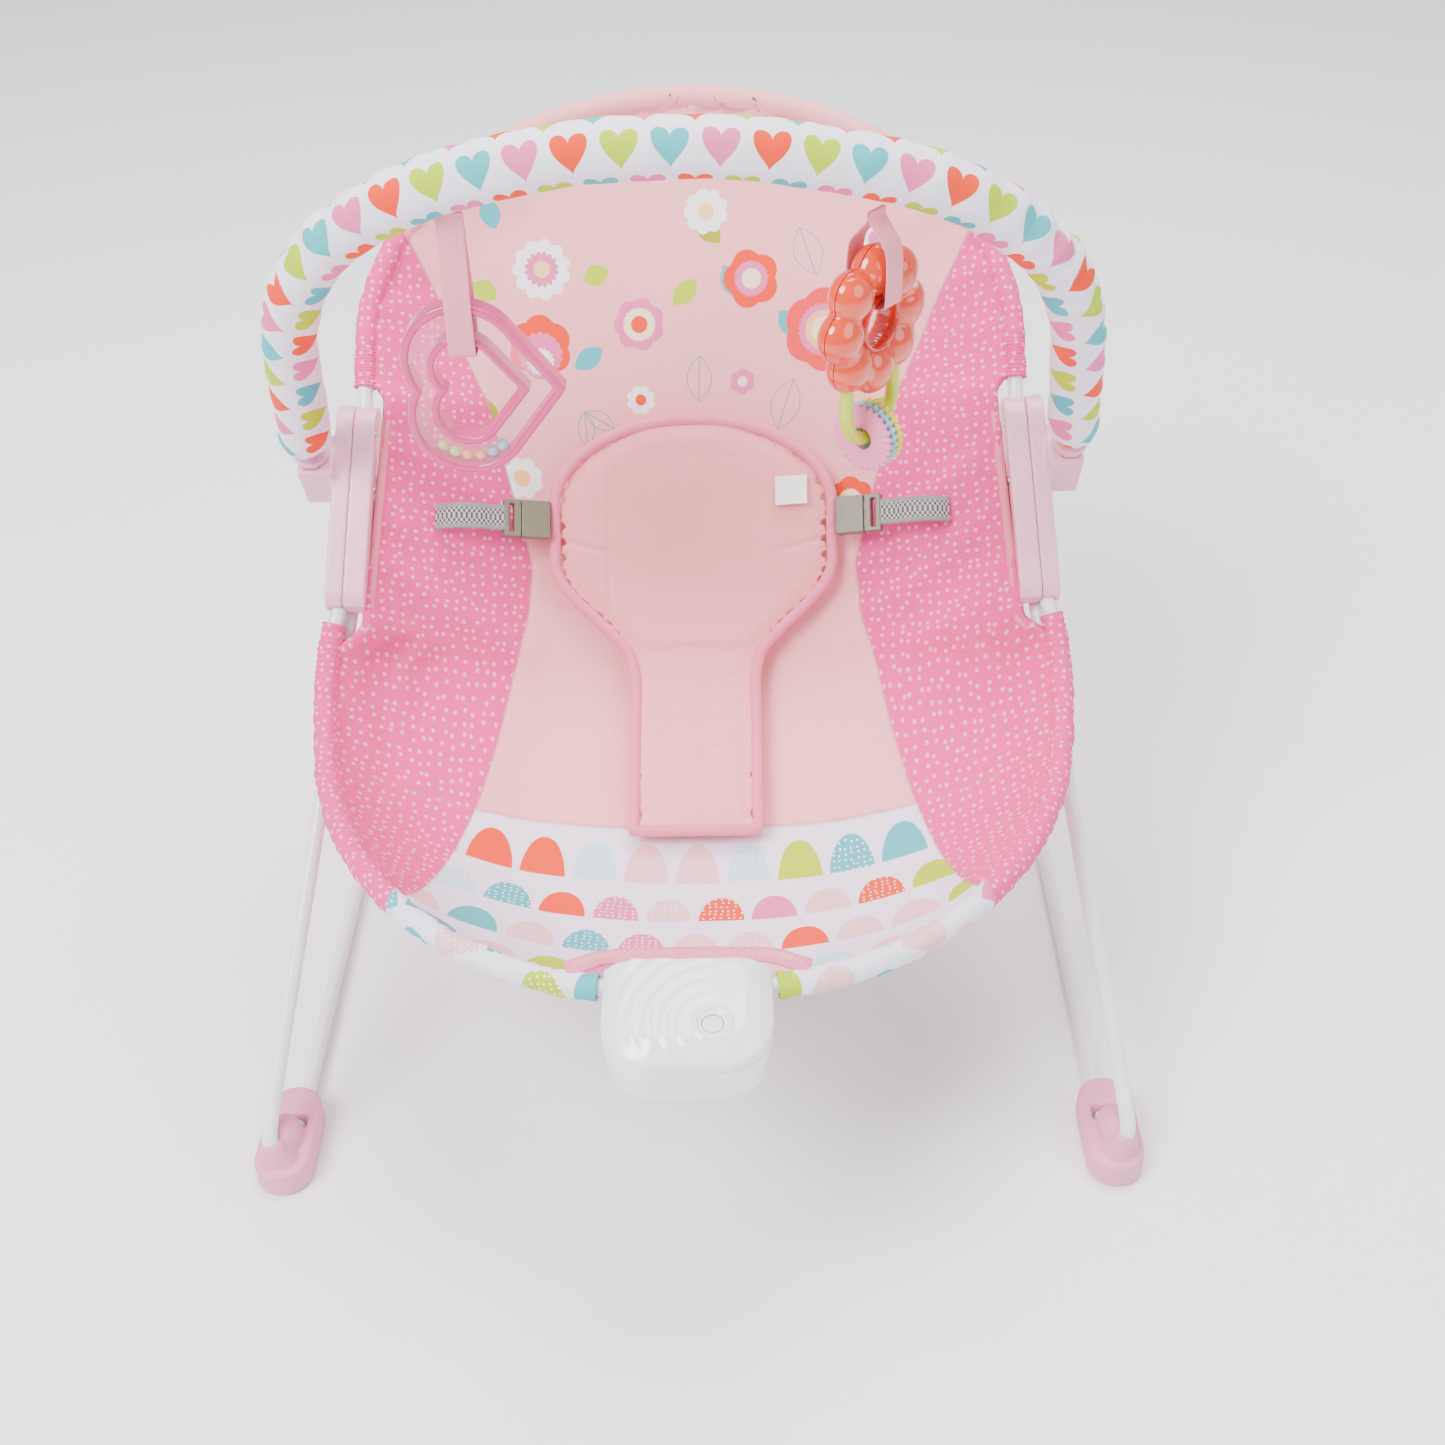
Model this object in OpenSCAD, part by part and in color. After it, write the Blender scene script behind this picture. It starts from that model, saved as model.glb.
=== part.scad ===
// Bouncer seat: a sprung wire base, a hammock seat on a bent-tube hoop, a three-point
// harness, a vibration unit on the front tube and a lift-off toy bar with two toys.
// Millimetres. +X is the child's left, +Y the head end, +Z up. The origin is on the
// floor at the centre of the footprint.

/* [Seat hoop] */
// Height of the front rail above the floor
rail_z = 185; // [175:1:190]
// Recline of the back, measured up from the floor
back_angle = 47; // [46:0.5:48]
// Half width of the hoop at its widest, by the hips
hip_half = 207; // [205:1:209]
// Half width of the hoop at the back
back_half = 186; // [185:1:187]
// Deepest sag of the seat below the hoop
sag = 70; // [55:1:74]

/* [Tubes] */
// Outside radius of the steel tube
tube_r = 4.5; // [4:0.1:4.5]
// Wall of the steel tube
tube_wall = 1; // [0.8:0.1:1.5]

/* [Base] */
// Half distance between the floor rails
track_half = 226; // [225:1:228]
// Radius of the sprung bend at each front foot
bend_r = 14; // [13:0.5:15]

/* [Toy bar] */
// Lean of the bar's plane, measured up from the floor
bar_lean = 64; // [62:1:66]
// Outside radius of the padded sleeve
sleeve_r = 14; // [12:0.5:15]
// Half distance between the two toys
toy_x = 92; // [90:1:94]

/* [Vibration unit] */
// Width of the unit
pod_w = 80; // [78:1:86]
// Radius of the power button
button_r = 5; // [4:0.5:6]

/* [Hidden] */
$fn = 32;
gap = 0.3;                    // clearance between pieces that don't grip each other
grip = 0.1;                   // clearance between a tube and the piece that holds it
sides = 12;                   // sides of a swept tube

front_y = -242;               // centre line of the front rail
front_run = 20;               // half length of the straight run that holds the unit
bend_y = -192;                // centre of the sprung bend
floor_z = 6.5;                // centre line of the floor rails
rear_y = 284;                 // centre line of the rear rail
rear_run = 95;                // half length of the straight rear run

// Side profile of the hoop: a level rail, an arc of arc_r, then the straight back.
// q is the distance along it from the front rail.
arc_r = 110;
arc_q = 155;                              // where the arc starts
back_q = arc_q + arc_r * back_angle * PI / 180;
hip_q = 225;                              // where the hoop is widest
waist_q = 335;                            // where it has narrowed to the back's width
crown_q = 418;                            // where the top starts to close
top_q = 564;                              // top of the hoop

function arc_a(q) = (q - arc_q) / arc_r * 180 / PI;
function slope(q) = q < arc_q ? 0 : q < back_q ? arc_a(q) : back_angle;
function prof_y(q) = q < arc_q ? front_y + q
    : q < back_q ? front_y + arc_q + arc_r * sin(arc_a(q))
    : prof_y(back_q - 0.001) + (q - back_q) * cos(back_angle);
function prof_z(q) = q < arc_q ? rail_z
    : q < back_q ? rail_z + arc_r * (1 - cos(arc_a(q)))
    : prof_z(back_q - 0.001) + (q - back_q) * sin(back_angle);
function hoop_w(q) = let(mid = (hip_half + back_half) / 2, swing = (hip_half - back_half) / 2)
    q < hip_q ? front_run + (hip_half - front_run) * sqrt(max(0, 1 - pow(1 - q / hip_q, 2)))
    : q < waist_q ? mid + swing * cos(180 * (q - hip_q) / (waist_q - hip_q))
    : q < crown_q ? back_half
    : back_half * sqrt(max(0, 1 - pow((q - crown_q) / (top_q - crown_q), 2)));
function on_hoop(q) = [hoop_w(q), prof_y(q), prof_z(q)];

// ---- vectors and sweeps ----
function unit(v) = v / norm(v);
function flip(p) = [-p[0], p[1], p[2]];
function reversed(l) = [for (i = [len(l) - 1 : -1 : 0]) l[i]];
function both_sides(half) = concat([for (p = reversed(half)) flip(p)], half);
function along(path, i) = unit(path[min(i + 1, len(path) - 1)] - path[max(i - 1, 0)]);
function carry(path, i, n, out) = i == len(path) ? out
    : let(t = along(path, i), m = unit(n - (n * t) * t)) carry(path, i + 1, m, concat(out, [m]));
function first_normal(path) = let(t = along(path, 0), a = abs(t[2]) < 0.9 ? [0, 0, 1] : [0, 1, 0])
    unit(a - (a * t) * t);
function rings(path, r, n) = let(ns = carry(path, 0, first_normal(path), []))
    [for (i = [0 : len(path) - 1], k = [0 : n - 1])
        let(t = along(path, i), b = cross(t, ns[i]), a = 360 * k / n)
        path[i] + r * (cos(a) * ns[i] + sin(a) * b)];

// A tube of outer radius r and inner radius r_in along a path
module tube(path, r, r_in, n = sides) {
    m = len(path);
    s = m * n;
    outer = [for (i = [0 : m - 2], k = [0 : n - 1]) let(a = i * n + k, b = i * n + (k + 1) % n)
        each [[a, a + n, b + n], [a, b + n, b]]];
    inner = [for (f = outer) [f[0] + s, f[2] + s, f[1] + s]];
    ends = [for (k = [0 : n - 1]) let(b = (k + 1) % n, e = (m - 1) * n)
        each [[k, b, b + s], [k, b + s, k + s],
              [e + k, e + b + s, e + b], [e + k, e + k + s, e + b + s]]];
    polyhedron(points = concat(rings(path, r, n), rings(path, r_in, n)),
               faces = concat(outer, inner, ends), convexity = 8);
}

// A closed sheet between two grids of points with the same rows and columns
module sheet(top, bottom) {
    rows = len(top);
    cols = len(top[0]);
    s = rows * cols;
    skin = [for (i = [0 : rows - 2], j = [0 : cols - 2]) let(a = i * cols + j)
        each [[a, a + cols, a + cols + 1], [a, a + cols + 1, a + 1]]];
    under = [for (f = skin) [f[0] + s, f[2] + s, f[1] + s]];
    rim = concat([for (j = [0 : cols - 1]) j],
                 [for (i = [1 : rows - 1]) i * cols + cols - 1],
                 [for (j = [cols - 2 : -1 : 0]) (rows - 1) * cols + j],
                 [for (i = [rows - 2 : -1 : 1]) i * cols]);
    edge = [for (k = [0 : len(rim) - 1]) let(a = rim[k], b = rim[(k + 1) % len(rim)])
        each [[a, b, b + s], [a, b + s, a + s]]];
    polyhedron(points = concat([for (r = top) each r], [for (r = bottom) each r]),
               faces = concat(skin, under, edge), convexity = 8);
}

// A cylinder from one point to another
module rod(a, b, r) {
    v = b - a;
    translate(a) rotate([0, acos(v[2] / norm(v)), atan2(v[1], v[0])]) cylinder(h = norm(v), r = r);
}

module mirrored() {
    mirror([1, 0, 0]) children();
}

// ---- base ----
leg_x = track_half + 8;                   // the legs rise just outside the floor rails
leg_angle = 41.7;                         // rise of a leg above the floor
leg_top = [193, 33, 243];                 // end of a leg, inside the hub
bend = [bend_y, floor_z + bend_r];        // hinge centre of the bend, in y and z
split_a = 200;                            // angle round the bend where leg and floor rail part
split_half = 5;                           // half of the free angle between them

function round_bend(a, x) = [x, bend[0] + bend_r * cos(a), bend[1] + bend_r * sin(a)];
function bend_x(a) = track_half + (leg_x - track_half) * (270 - a) / (270 - 90 - leg_angle);
base_half = concat(
    [for (a = [0 : 9 : 90]) [rear_run + (track_half - rear_run) * sin(a), rear_y - 215 * (1 - cos(a)), floor_z]],
    [[track_half, -60, floor_z], [track_half, -175, floor_z]],
    [for (a = [270 : -13 : split_a + split_half]) round_bend(a, bend_x(a))]);

module base_tube() {
    color("white") tube(both_sides(base_half), tube_r, tube_r - tube_wall);
}

// Rubber boot over the sprung bend, open above where the leg rises
boot_h = 16;
module boot_outline() {
    hull_r = 13;
    translate([track_half + 3, bend_y - 11]) circle(r = hull_r + 2.5);
    translate([track_half + 3 - hull_r - 2.5, bend_y - 11]) square([2 * hull_r + 5, 34]);
    translate([track_half + 3, bend_y + 23]) circle(r = hull_r + 2.5);
}
module front_foot() {
    color("pink") difference() {
        linear_extrude(boot_h) boot_outline();
        translate([track_half - 6, bend[0], bend[1]]) rotate([0, 90, 0])
            cylinder(h = 20, r = bend_r + tube_r + 0.8);
        rod([track_half, bend_y - 2, floor_z], [track_half, bend_y + 60, floor_z], tube_r + grip);
    }
}
module front_foot_right() front_foot();
module front_foot_left() mirrored() front_foot();

// Rubber sleeve under the rear rail
rear_foot_w = 42;
module rear_foot() {
    color("pink") difference() {
        translate([70 - rear_foot_w / 2, rear_y - 6, 0]) cube([rear_foot_w, 12, 13]);
        rod([40, rear_y, floor_z], [100, rear_y, floor_z], tube_r + grip);
    }
}
module rear_foot_right() rear_foot();
module rear_foot_left() mirrored() rear_foot();

// ---- legs and hoop ----
leg_start = round_bend(90 + leg_angle, leg_x);
leg_path = concat(
    [for (a = [split_a - split_half : -12 : 90 + leg_angle + 4]) round_bend(a, bend_x(a))],
    [leg_start, leg_start + 0.06 * (leg_top - leg_start) + [0.8, 0, 0]],
    [leg_start + 0.5 * (leg_top - leg_start), leg_start + 0.8 * (leg_top - leg_start), leg_top]);
module leg_tube() {
    color("white") tube(leg_path, tube_r, tube_r - tube_wall);
}
module leg_tube_right() leg_tube();
module leg_tube_left() mirrored() leg_tube();

seat_end_q = 294;                         // the seat tube stops here, inside the hub
back_start_q = 350;                       // and the back tube starts here
hub_q = [262, 384];                       // stretch of the hoop that the hub covers
function front_arc(a) = let(q = hip_q * (1 - cos(a)))
    [front_run + (hip_half - front_run) * sin(a), prof_y(q), prof_z(q)];
function crown(a) = let(q = crown_q + (top_q - crown_q) * sin(a))
    [back_half * cos(a), prof_y(q), prof_z(q)];
function seat_line(end, step) = concat([for (a = [0 : step : 89]) front_arc(a)],
                                       [for (q = [hip_q : 10 : end]) on_hoop(q)]);
function back_line(start, step) = concat([on_hoop(start), on_hoop((start + crown_q) / 2)],
                                         [for (a = [0 : step : 90]) crown(a)]);
module seat_tube() {
    color("white") tube(both_sides(concat(seat_line(seat_end_q - 1, 6), [on_hoop(seat_end_q)])),
                        tube_r, tube_r - tube_wall);
}
module back_tube() {
    half = back_line(back_start_q, 6);
    color("white") tube(concat(half, [for (i = [len(half) - 2 : -1 : 0]) flip(half[i])]),
                        tube_r, tube_r - tube_wall);
}

// Side hub: two shells clamped round the tubes, with the toy bar's socket outside
hub_at = [194, prof_y(323), prof_z(323)];
hub_turn = [back_angle - 90, -5, 0];
hub_in = 12.5;                            // depth of the inner shell
hub_out = 10;                             // depth of the outer shell
slot_w = 20;                              // width of the toy bar's socket
slot_t = 9;                               // and its thickness
slot_deep = 34;
bar_dir = [0, -cos(bar_lean), sin(bar_lean)];
slot_mouth = [213, 55, 308];
module hub_side() {
    translate([0.5, -48]) circle(r = 11);
    translate([12, -42]) circle(r = 13);
    translate([1, 46]) circle(r = 14);
    polygon([[-10.5, -48], [25, -42], [15, 46], [-13, 46]]);
    translate([-1, -47]) square([13, 20], center = true);
}
module hub_block(x0, x1) {
    translate(hub_at) rotate(hub_turn) translate([x0, 0, 0])
        rotate([90, 0, 90]) linear_extrude(x1 - x0) hub_side();
}
module slot_frame() {
    translate(slot_mouth) rotate([90 - bar_lean, 0, 0]) children();
}
// The socket's round-bottomed pocket wall, a tab's width by its thickness, open at the top
module slot_boss() {
    slot_frame() translate([0, 0, -slot_deep - 4]) {
        translate([-slot_t / 2 - 8, -slot_w / 2 - 3, 8]) cube([slot_t + 11, slot_w + 6, slot_deep - 4]);
        translate([-slot_t / 2 - 8, -slot_w / 2 + 3, 0]) cube([slot_t + 11, slot_w - 6, 10]);
    }
}
module slot_pocket() {
    slot_frame() translate([-slot_t / 2, -slot_w / 2, -slot_deep]) cube([slot_t, slot_w, slot_deep + 9]);
}
module hub_bores() {
    rod(on_hoop(hub_q[0] - 12), on_hoop(seat_end_q + 2), tube_r + 0.35);
    rod(on_hoop(back_start_q - 2), on_hoop(hub_q[1] + 12), tube_r + grip);
    rod(leg_start + 0.7 * (leg_top - leg_start), leg_top + 3 * unit(leg_top - leg_start), tube_r + grip);
}
screw_at = [[-14, 4], [12, 0], [42, -9.5]];   // along the hub and across it
module hub_screw_holes(r) {
    for (s = screw_at)
        translate(hub_at) rotate(hub_turn) translate([-hub_in - 0.4, s[1], s[0]])
            rotate([0, 90, 0]) cylinder(h = hub_in + 6, r = r);
}
module hub_outer() {
    color("pink") difference() {
        union() {
            hub_block(0.05, hub_out);
            slot_boss();
        }
        hub_block(-hub_in, 0.05);
        slot_pocket();
        hub_bores();
        hub_screw_holes(1.5);
    }
}
module hub_inner() {
    color("pink") difference() {
        hub_block(-hub_in, -0.05);
        slot_pocket();
        hub_bores();
        hub_screw_holes(1.5);
    }
}
module hub_outer_right() hub_outer();
module hub_outer_left() mirrored() hub_outer();
module hub_inner_right() hub_inner();
module hub_inner_left() mirrored() hub_inner();
module hub_screws() {
    color("silver") {
        hub_screw_holes(1.4);
        mirrored() hub_screw_holes(1.4);
    }
}

// ---- seat cover ----
pad_t = 5;                                // thickness of the padded cover
hem_t = 1.6;                              // cloth round the tubes
function ease(t) = let(c = max(0, min(1, t))) c * c * (3 - 2 * c);
// How far the cover draws in to clear a hub's inner face
function tuck_in(q) = ease((q - 240) / 16) * ease((400 - q) / 12)
    * max(0, hoop_w(q) - edge_in - 178.5 - (323 - q) * 0.087);
function sag_at(q) = sag * pow(sin(180 * pow(max(0, min(1, q / top_q)), 0.62)), 1.3);
function down(q, d) = [0, d * sin(slope(q)), -d * cos(slope(q))];
function cover(q, x, w, d) = [x, prof_y(q), prof_z(q)] + down(q, d + sag_at(q) * (1 - pow(abs(x) / w, 2.5)));
// Rows of the cover from the front rail to the crown, each [q, half width]
edge_in = tube_r + hem_t + gap + 0.4;
cover_rows = concat(
    [for (a = [8, 14, 21, 29, 37, 46, 55, 64, 73, 82])
        [edge_in + (hip_q - edge_in) * (1 - cos(a)), front_run + (hip_half - edge_in - front_run) * sin(a)]],
    [for (q = [hip_q : 22 : crown_q - 5]) [q, hoop_w(q) - edge_in - tuck_in(q)]],
    [for (a = [0, 12, 24, 36, 47, 57, 66, 75, 84])
        [crown_q + (top_q - edge_in - crown_q) * sin(a), (back_half - edge_in) * cos(a)]]);
cover_cols = [-1, -0.93, -0.8, -0.62, -0.42, -0.2, 0, 0.2, 0.42, 0.62, 0.8, 0.93, 1];
function cover_grid(d) = [for (r = cover_rows) [for (c = cover_cols) cover(r[0], c * r[1], r[1], d)]];
module seat_pad() {
    color("hotpink") sheet(cover_grid(0), cover_grid(pad_t));
}
// Casings that hold the cover on the tubes, open at the hubs
module seat_hem() {
    half = concat(seat_line(252, 6), [on_hoop(255)]);
    right = [for (p = half) if (p[0] > pod_w / 2 + 4) p];
    color("hotpink") {
        tube(right, tube_r + hem_t, tube_r + gap, 10);
        mirrored() tube(right, tube_r + hem_t, tube_r + gap, 10);
    }
}
module back_hem() {
    half = back_line(394, 6);
    color("pink") tube(concat(half, [for (i = [len(half) - 2 : -1 : 0]) flip(half[i])]),
                       tube_r + hem_t, tube_r + gap, 10);
}

// ---- harness ----
lift = 3;                                 // the harness lies this far above the cover
crotch_t = 6;
crotch_q = [172, 380];
wing_half = 82;
stem_half = 36;
function harness_half(q) = q < 330 ? stem_half + (wing_half - stem_half) * ease((q - 235) / 62)
    : wing_half * sqrt(max(0.05, 1 - pow((q - 330) / (crotch_q[1] + 2 - 330), 2)));
function harness_grid(d) = [for (i = [0 : 16]) let(q = crotch_q[0] + (crotch_q[1] - crotch_q[0]) * i / 16)
    [for (c = [-1 : 0.25 : 1]) cover(q, c * harness_half(q), 178, d)]];
module crotch_pad() {
    color("lightpink") sheet(harness_grid(-lift - crotch_t), harness_grid(-lift));
}
// The buckle's own frame: X along the strap, away from the harness, and Z off the cover
buckle_q = 322;
buckle_x = 84;                            // the socket's mouth is outboard of this
strap_rise = 22;                          // slope of the cover there, up towards the side
strap_w = 16;
module buckle_frame() {
    translate(cover(buckle_q, buckle_x, 178, -lift - 6)) rotate([back_angle, 0, 0])
        rotate([0, -strap_rise, 0]) children();
}
module buckle_socket() {
    color("darkkhaki") buckle_frame() difference() {
        translate([1, -11, -3.5]) cube([17, 22, 7]);
        translate([4, -8.3, -2.1]) cube([20, 16.6, 4.2]);
    }
}
module buckle_plug() {
    color("darkkhaki") buckle_frame() {
        translate([5, -8, -1.8]) cube([14, 16, 3.6]);
        translate([18.3, -11, -3]) difference() {
            cube([10, 22, 6]);
            translate([4, 2.5, -1]) cube([3, 17, 8]);
        }
    }
}
module waist_strap() {
    color("dimgray") buckle_frame() translate([28.8, -strap_w / 2, -0.8]) cube([36, strap_w, 1.6]);
}
module buckle_socket_right() buckle_socket();
module buckle_socket_left() mirrored() buckle_socket();
module buckle_plug_right() buckle_plug();
module buckle_plug_left() mirrored() buckle_plug();
module waist_strap_right() waist_strap();
module waist_strap_left() mirrored() waist_strap();
module side_tag() {
    color("white") translate(cover(338, 58, 178, -lift - crotch_t - 3.2)) rotate([back_angle, 0, 0])
        rotate([0, -10, 0]) cube([19, 17, 0.8], center = true);
}

// ---- vibration unit ----
pod_front = -290;
pod_back = -234;
pod_top = 198;
pod_split = 181;                          // height of the seam between the two covers
pod_bottom = 158;
pod_wall = 2;
pod_corner = 26;                          // radius of the unit's front corners
button_at = [12, -272];
module pod_outline(inset) {
    x = pod_w / 2 - pod_corner;
    y = pod_front + pod_corner;
    r = pod_corner - inset;
    for (s = [-1, 1]) translate([s * x, y]) circle(r = r, $fn = 48);
    translate([-x, pod_front + inset]) square([2 * x, pod_corner]);
    translate([-pod_w / 2 + inset, y]) square([pod_w - 2 * inset, pod_back - y - inset]);
}
module rail(r) {
    rod([-60, front_y, rail_z], [60, front_y, rail_z], r);
}
module unit_top_cover() {
    color("white") difference() {
        translate([0, 0, pod_split + 0.1]) linear_extrude(pod_top - pod_split - 0.1) pod_outline(0);
        translate([0, 0, pod_split - 1]) linear_extrude(pod_top - pod_wall - pod_split + 1) pod_outline(pod_wall);
        translate([button_at[0], button_at[1], pod_top - 5]) cylinder(h = 8, r = button_r + 0.25);
        rail(tube_r + 3);
        translate([-60, front_y - tube_r - 3, pod_split - 2]) cube([120, 2 * tube_r + 6, rail_z - pod_split + 2]);
    }
}
cell_at = [-8, -270, 169];
cell_r = 7.1;
screw_x = 22;                             // the battery door's screw
module unit_bottom_cover() {
    color("white") difference() {
        union() {
            difference() {
                translate([0, 0, pod_bottom]) linear_extrude(pod_split - pod_bottom) pod_outline(0);
                translate([0, 0, pod_bottom + pod_wall]) linear_extrude(pod_split) pod_outline(pod_wall);
            }
            translate([-34, front_y - 9, pod_bottom + 1]) cube([68, 17, pod_split - pod_bottom - 1]);
        }
        translate([-16, front_y - 6.3, pod_bottom - 1]) cube([32, 12.6, 60]);
        rail(tube_r + 3);
        translate([-32.5, cell_at[1] - 7.6, pod_bottom - 1]) cube([50.5, 15.2, pod_wall + 2]);
        for (s = [-1, 1]) translate([s * 26, front_y, pod_bottom - 1]) cylinder(h = 30, r = 1.6);
        translate([screw_x, cell_at[1], pod_bottom - 1]) cylinder(h = 6, r = 1.25);
    }
}
// Saddle that holds the front rail down in the unit
module unit_clamp() {
    color("white") difference() {
        translate([-15.7, front_y - 6, pod_bottom + 0.4]) cube([31.4, 12, rail_z - pod_bottom + 5.6]);
        rail(tube_r + grip);
    }
}
module unit_screws() {
    color("silver") for (s = [-1, 1])
        translate([s * 26, front_y, pod_bottom + 0.5]) cylinder(h = 18, r = 1.45);
}
module power_button() {
    color("white") translate([button_at[0], button_at[1], 0]) {
        translate([0, 0, 193.2]) cylinder(h = 5.4, r = button_r);
        translate([0, 0, 191.4]) cylinder(h = 1.9, r = 2);
    }
}
module circuit_board() {
    color("green") {
        translate([-6, -281, 187.4]) cube([34, 18, 1.2]);
        translate([button_at[0] - 3, button_at[1] - 3, 188.6]) cube([6, 6, 1.2]);
    }
}
module battery_cell() {
    color("goldenrod") translate(cell_at) rotate([0, 90, 0]) {
        translate([0, 0, -23]) cylinder(h = 45, r = cell_r);
        translate([0, 0, 22]) cylinder(h = 1.6, r = 2.7);
    }
}
module battery_contacts() {
    color("silver") translate(cell_at) rotate([0, 90, 0]) {
        translate([-5, -5, 23.8]) cube([10, 10, 0.6]);
        translate([0, 0, -27.5]) cylinder(h = 1.2, r = 5);
        translate([0, 0, -26.3]) cylinder(h = 3.1, r = 3);
    }
}
module battery_door() {
    color("white") difference() {
        translate([-34, cell_at[1] - 9, pod_bottom - 1.8]) cube([61, 18, 1.7]);
        translate([screw_x, cell_at[1], pod_bottom - 3]) cylinder(h = 5, r = 1.3);
    }
}
module door_screw() {
    color("silver") translate([screw_x, cell_at[1], 0]) {
        translate([0, 0, pod_bottom - 2.4]) cylinder(h = 6, r = 1.2);
        translate([0, 0, pod_bottom - 3]) cylinder(h = 1.15, r = 2.4);
    }
}
motor_at = [27.5, -266, 173];
module vibration_motor() {
    color("silver") translate(motor_at) rotate([90, 0, 0]) {
        cylinder(h = 12, r = 6.2);
        translate([0, 0, -6]) cylinder(h = 6, r = 1);
    }
}
module motor_weight() {
    color("gray") translate(motor_at) rotate([90, 0, 0]) translate([0, 0, -5.6]) difference() {
        cylinder(h = 5, r = 5.6);
        translate([0, 0, -1]) cylinder(h = 8, r = 1.05);
        translate([-6, 1.8, -1]) cube([12, 6, 8]);
    }
}

// ---- toy bar ----
// Half of the bar's centre line, in its own plane: [out from the middle, up from the mouth]
bar_half = [[213, 4], [213, 9], [212.6, 18], [210.5, 30], [208, 50], [203, 90], [196, 120], [184, 148], [166, 172],
            [143, 192], [115, 208], [84, 219], [50, 227], [24, 230.5], [0, 231.5]];
function bar_point(p) = [p[0], slot_mouth[1], slot_mouth[2]] + p[1] * bar_dir;
bar_right = [for (p = bar_half) bar_point(p)];
bar_path = concat(bar_right, [for (i = [len(bar_right) - 2 : -1 : 0]) flip(bar_right[i])]);
bar_tube_r = 6;
module toy_bar_tube() {
    color("white") tube(bar_path, bar_tube_r, bar_tube_r - 1.4);
}
module toy_bar_sleeve() {
    inner = [for (i = [1 : len(bar_path) - 2]) bar_path[i]];
    color("lavender") tube(inner, sleeve_r, bar_tube_r + gap, 14);
}
// End fitting: a flat tab for the socket, a flange and a spigot inside the bar
module toy_bar_plug() {
    color("pink") slot_frame() {
        translate([-slot_t / 2 + gap, -slot_w / 2 + gap, -slot_deep + 1])
            cube([slot_t - 2 * gap, slot_w - 2 * gap, slot_deep - 0.8]);
        translate([0, 0, 0.2]) cylinder(h = 3.5, r = 10);
        translate([0, 0, 3.7]) cylinder(h = 7, r = bar_tube_r - 1.5);
    }
}
module toy_bar_plug_right() toy_bar_plug();
module toy_bar_plug_left() mirrored() toy_bar_plug();

// ---- toys ----
hang_y = bar_point([0, 217])[1];          // the toys hang below the bar's centre line
hang_z = bar_point([0, 217])[2] - sleeve_r - 2;
ribbon_w = 13;
ribbon_t = 0.9;
// A ribbon loop hanging from its own origin: it starts top below it, is wide open from
// spread downwards, and its flat lower end is drop below it
module ribbon_loop(top, spread, drop, half_gap) {
    t = ribbon_t / 2;
    rotate([90, 0, 90]) translate([0, 0, -ribbon_w / 2]) linear_extrude(ribbon_w) difference() {
        polygon([[-2 * t, -top], [2 * t, -top], [half_gap + t, -spread], [half_gap + t, -drop - 2 * t],
                 [-half_gap - t, -drop - 2 * t], [-half_gap - t, -spread]]);
        polygon([[0, -top - 3], [half_gap - t, -spread], [half_gap - t, -drop], [-half_gap + t, -drop],
                 [-half_gap + t, -spread]]);
    }
}

// Heart rattle: lobes to one side, point to the other, facing the front
heart = [30, 15, 49];                     // lobe radius, lobe centre off the axis, tip along it
heart_hole = [14, 11.4, 27];              // the same for the hole through it
heart_x = -105;
heart_drop = 90;                          // from the hinge to the heart's middle
heart_t = 12;
rim_t = 4.2;                              // width of the coloured rims
inner_t = 3.5;
function heart_edge(h) = atan(h[1] / h[2]) + asin(h[0] / norm([h[1], h[2]]));
function grown(h, d) = [h[0] + d, h[1], h[2] + d / sin(heart_edge(h))];
module heart_shape(h) {
    n = [sin(heart_edge(h)), cos(heart_edge(h))];
    for (s = [-1, 1]) translate([0, s * h[1]]) circle(r = h[0], $fn = 48);
    polygon([[0, h[1]], [0, h[1]] + h[0] * n, [h[2], 0],
             [h[0] * n[0], -h[1] - h[0] * n[1]], [0, -h[1]]]);
}
module heart_frame() {
    translate([heart_x, hang_y, hang_z - heart_drop]) rotate([90, 0, 0]) children();
}
module heart_ring(outer, inner, t) {
    linear_extrude(t) difference() {
        heart_shape(outer);
        heart_shape(inner);
    }
}
module heart_ribbon() {
    color("pink") translate([heart_x + 1, hang_y, hang_z])
        ribbon_loop(6.8, heart_drop - 49, heart_drop - heart_hole[0] - heart_hole[1] + 3, heart_t / 2 + 1);
}
module heart_outer_rim() {
    color("deeppink") heart_frame() translate([0, 0, -heart_t / 2])
        heart_ring(heart, grown(heart, -rim_t), heart_t);
}
module heart_inner_rim() {
    color("deeppink") heart_frame() translate([0, 0, -heart_t / 2])
        heart_ring(grown(heart_hole, inner_t), heart_hole, heart_t);
}
module heart_window(z0) {
    color("lavenderblush", 0.4) heart_frame() translate([0, 0, z0])
        heart_ring(grown(heart, -rim_t - 0.05), grown(heart_hole, inner_t + 0.05), 1.2);
}
module heart_window_front() heart_window(heart_t / 2 - 1.4);
module heart_window_back() heart_window(-heart_t / 2 + 0.2);
bead_r = 3;
module heart_beads() {
    tints = ["yellowgreen", "yellowgreen", "darkorange", "darkorange", "turquoise", "turquoise"];
    r = heart[0] - rim_t - bead_r - 0.3;
    for (i = [0 : 5]) let(a = 270 + (i - 2.5) * 16.5)
        color(tints[i]) heart_frame() translate([r * cos(a), -heart[1] + r * sin(a), 0]) sphere(r = bead_r);
}

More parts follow.
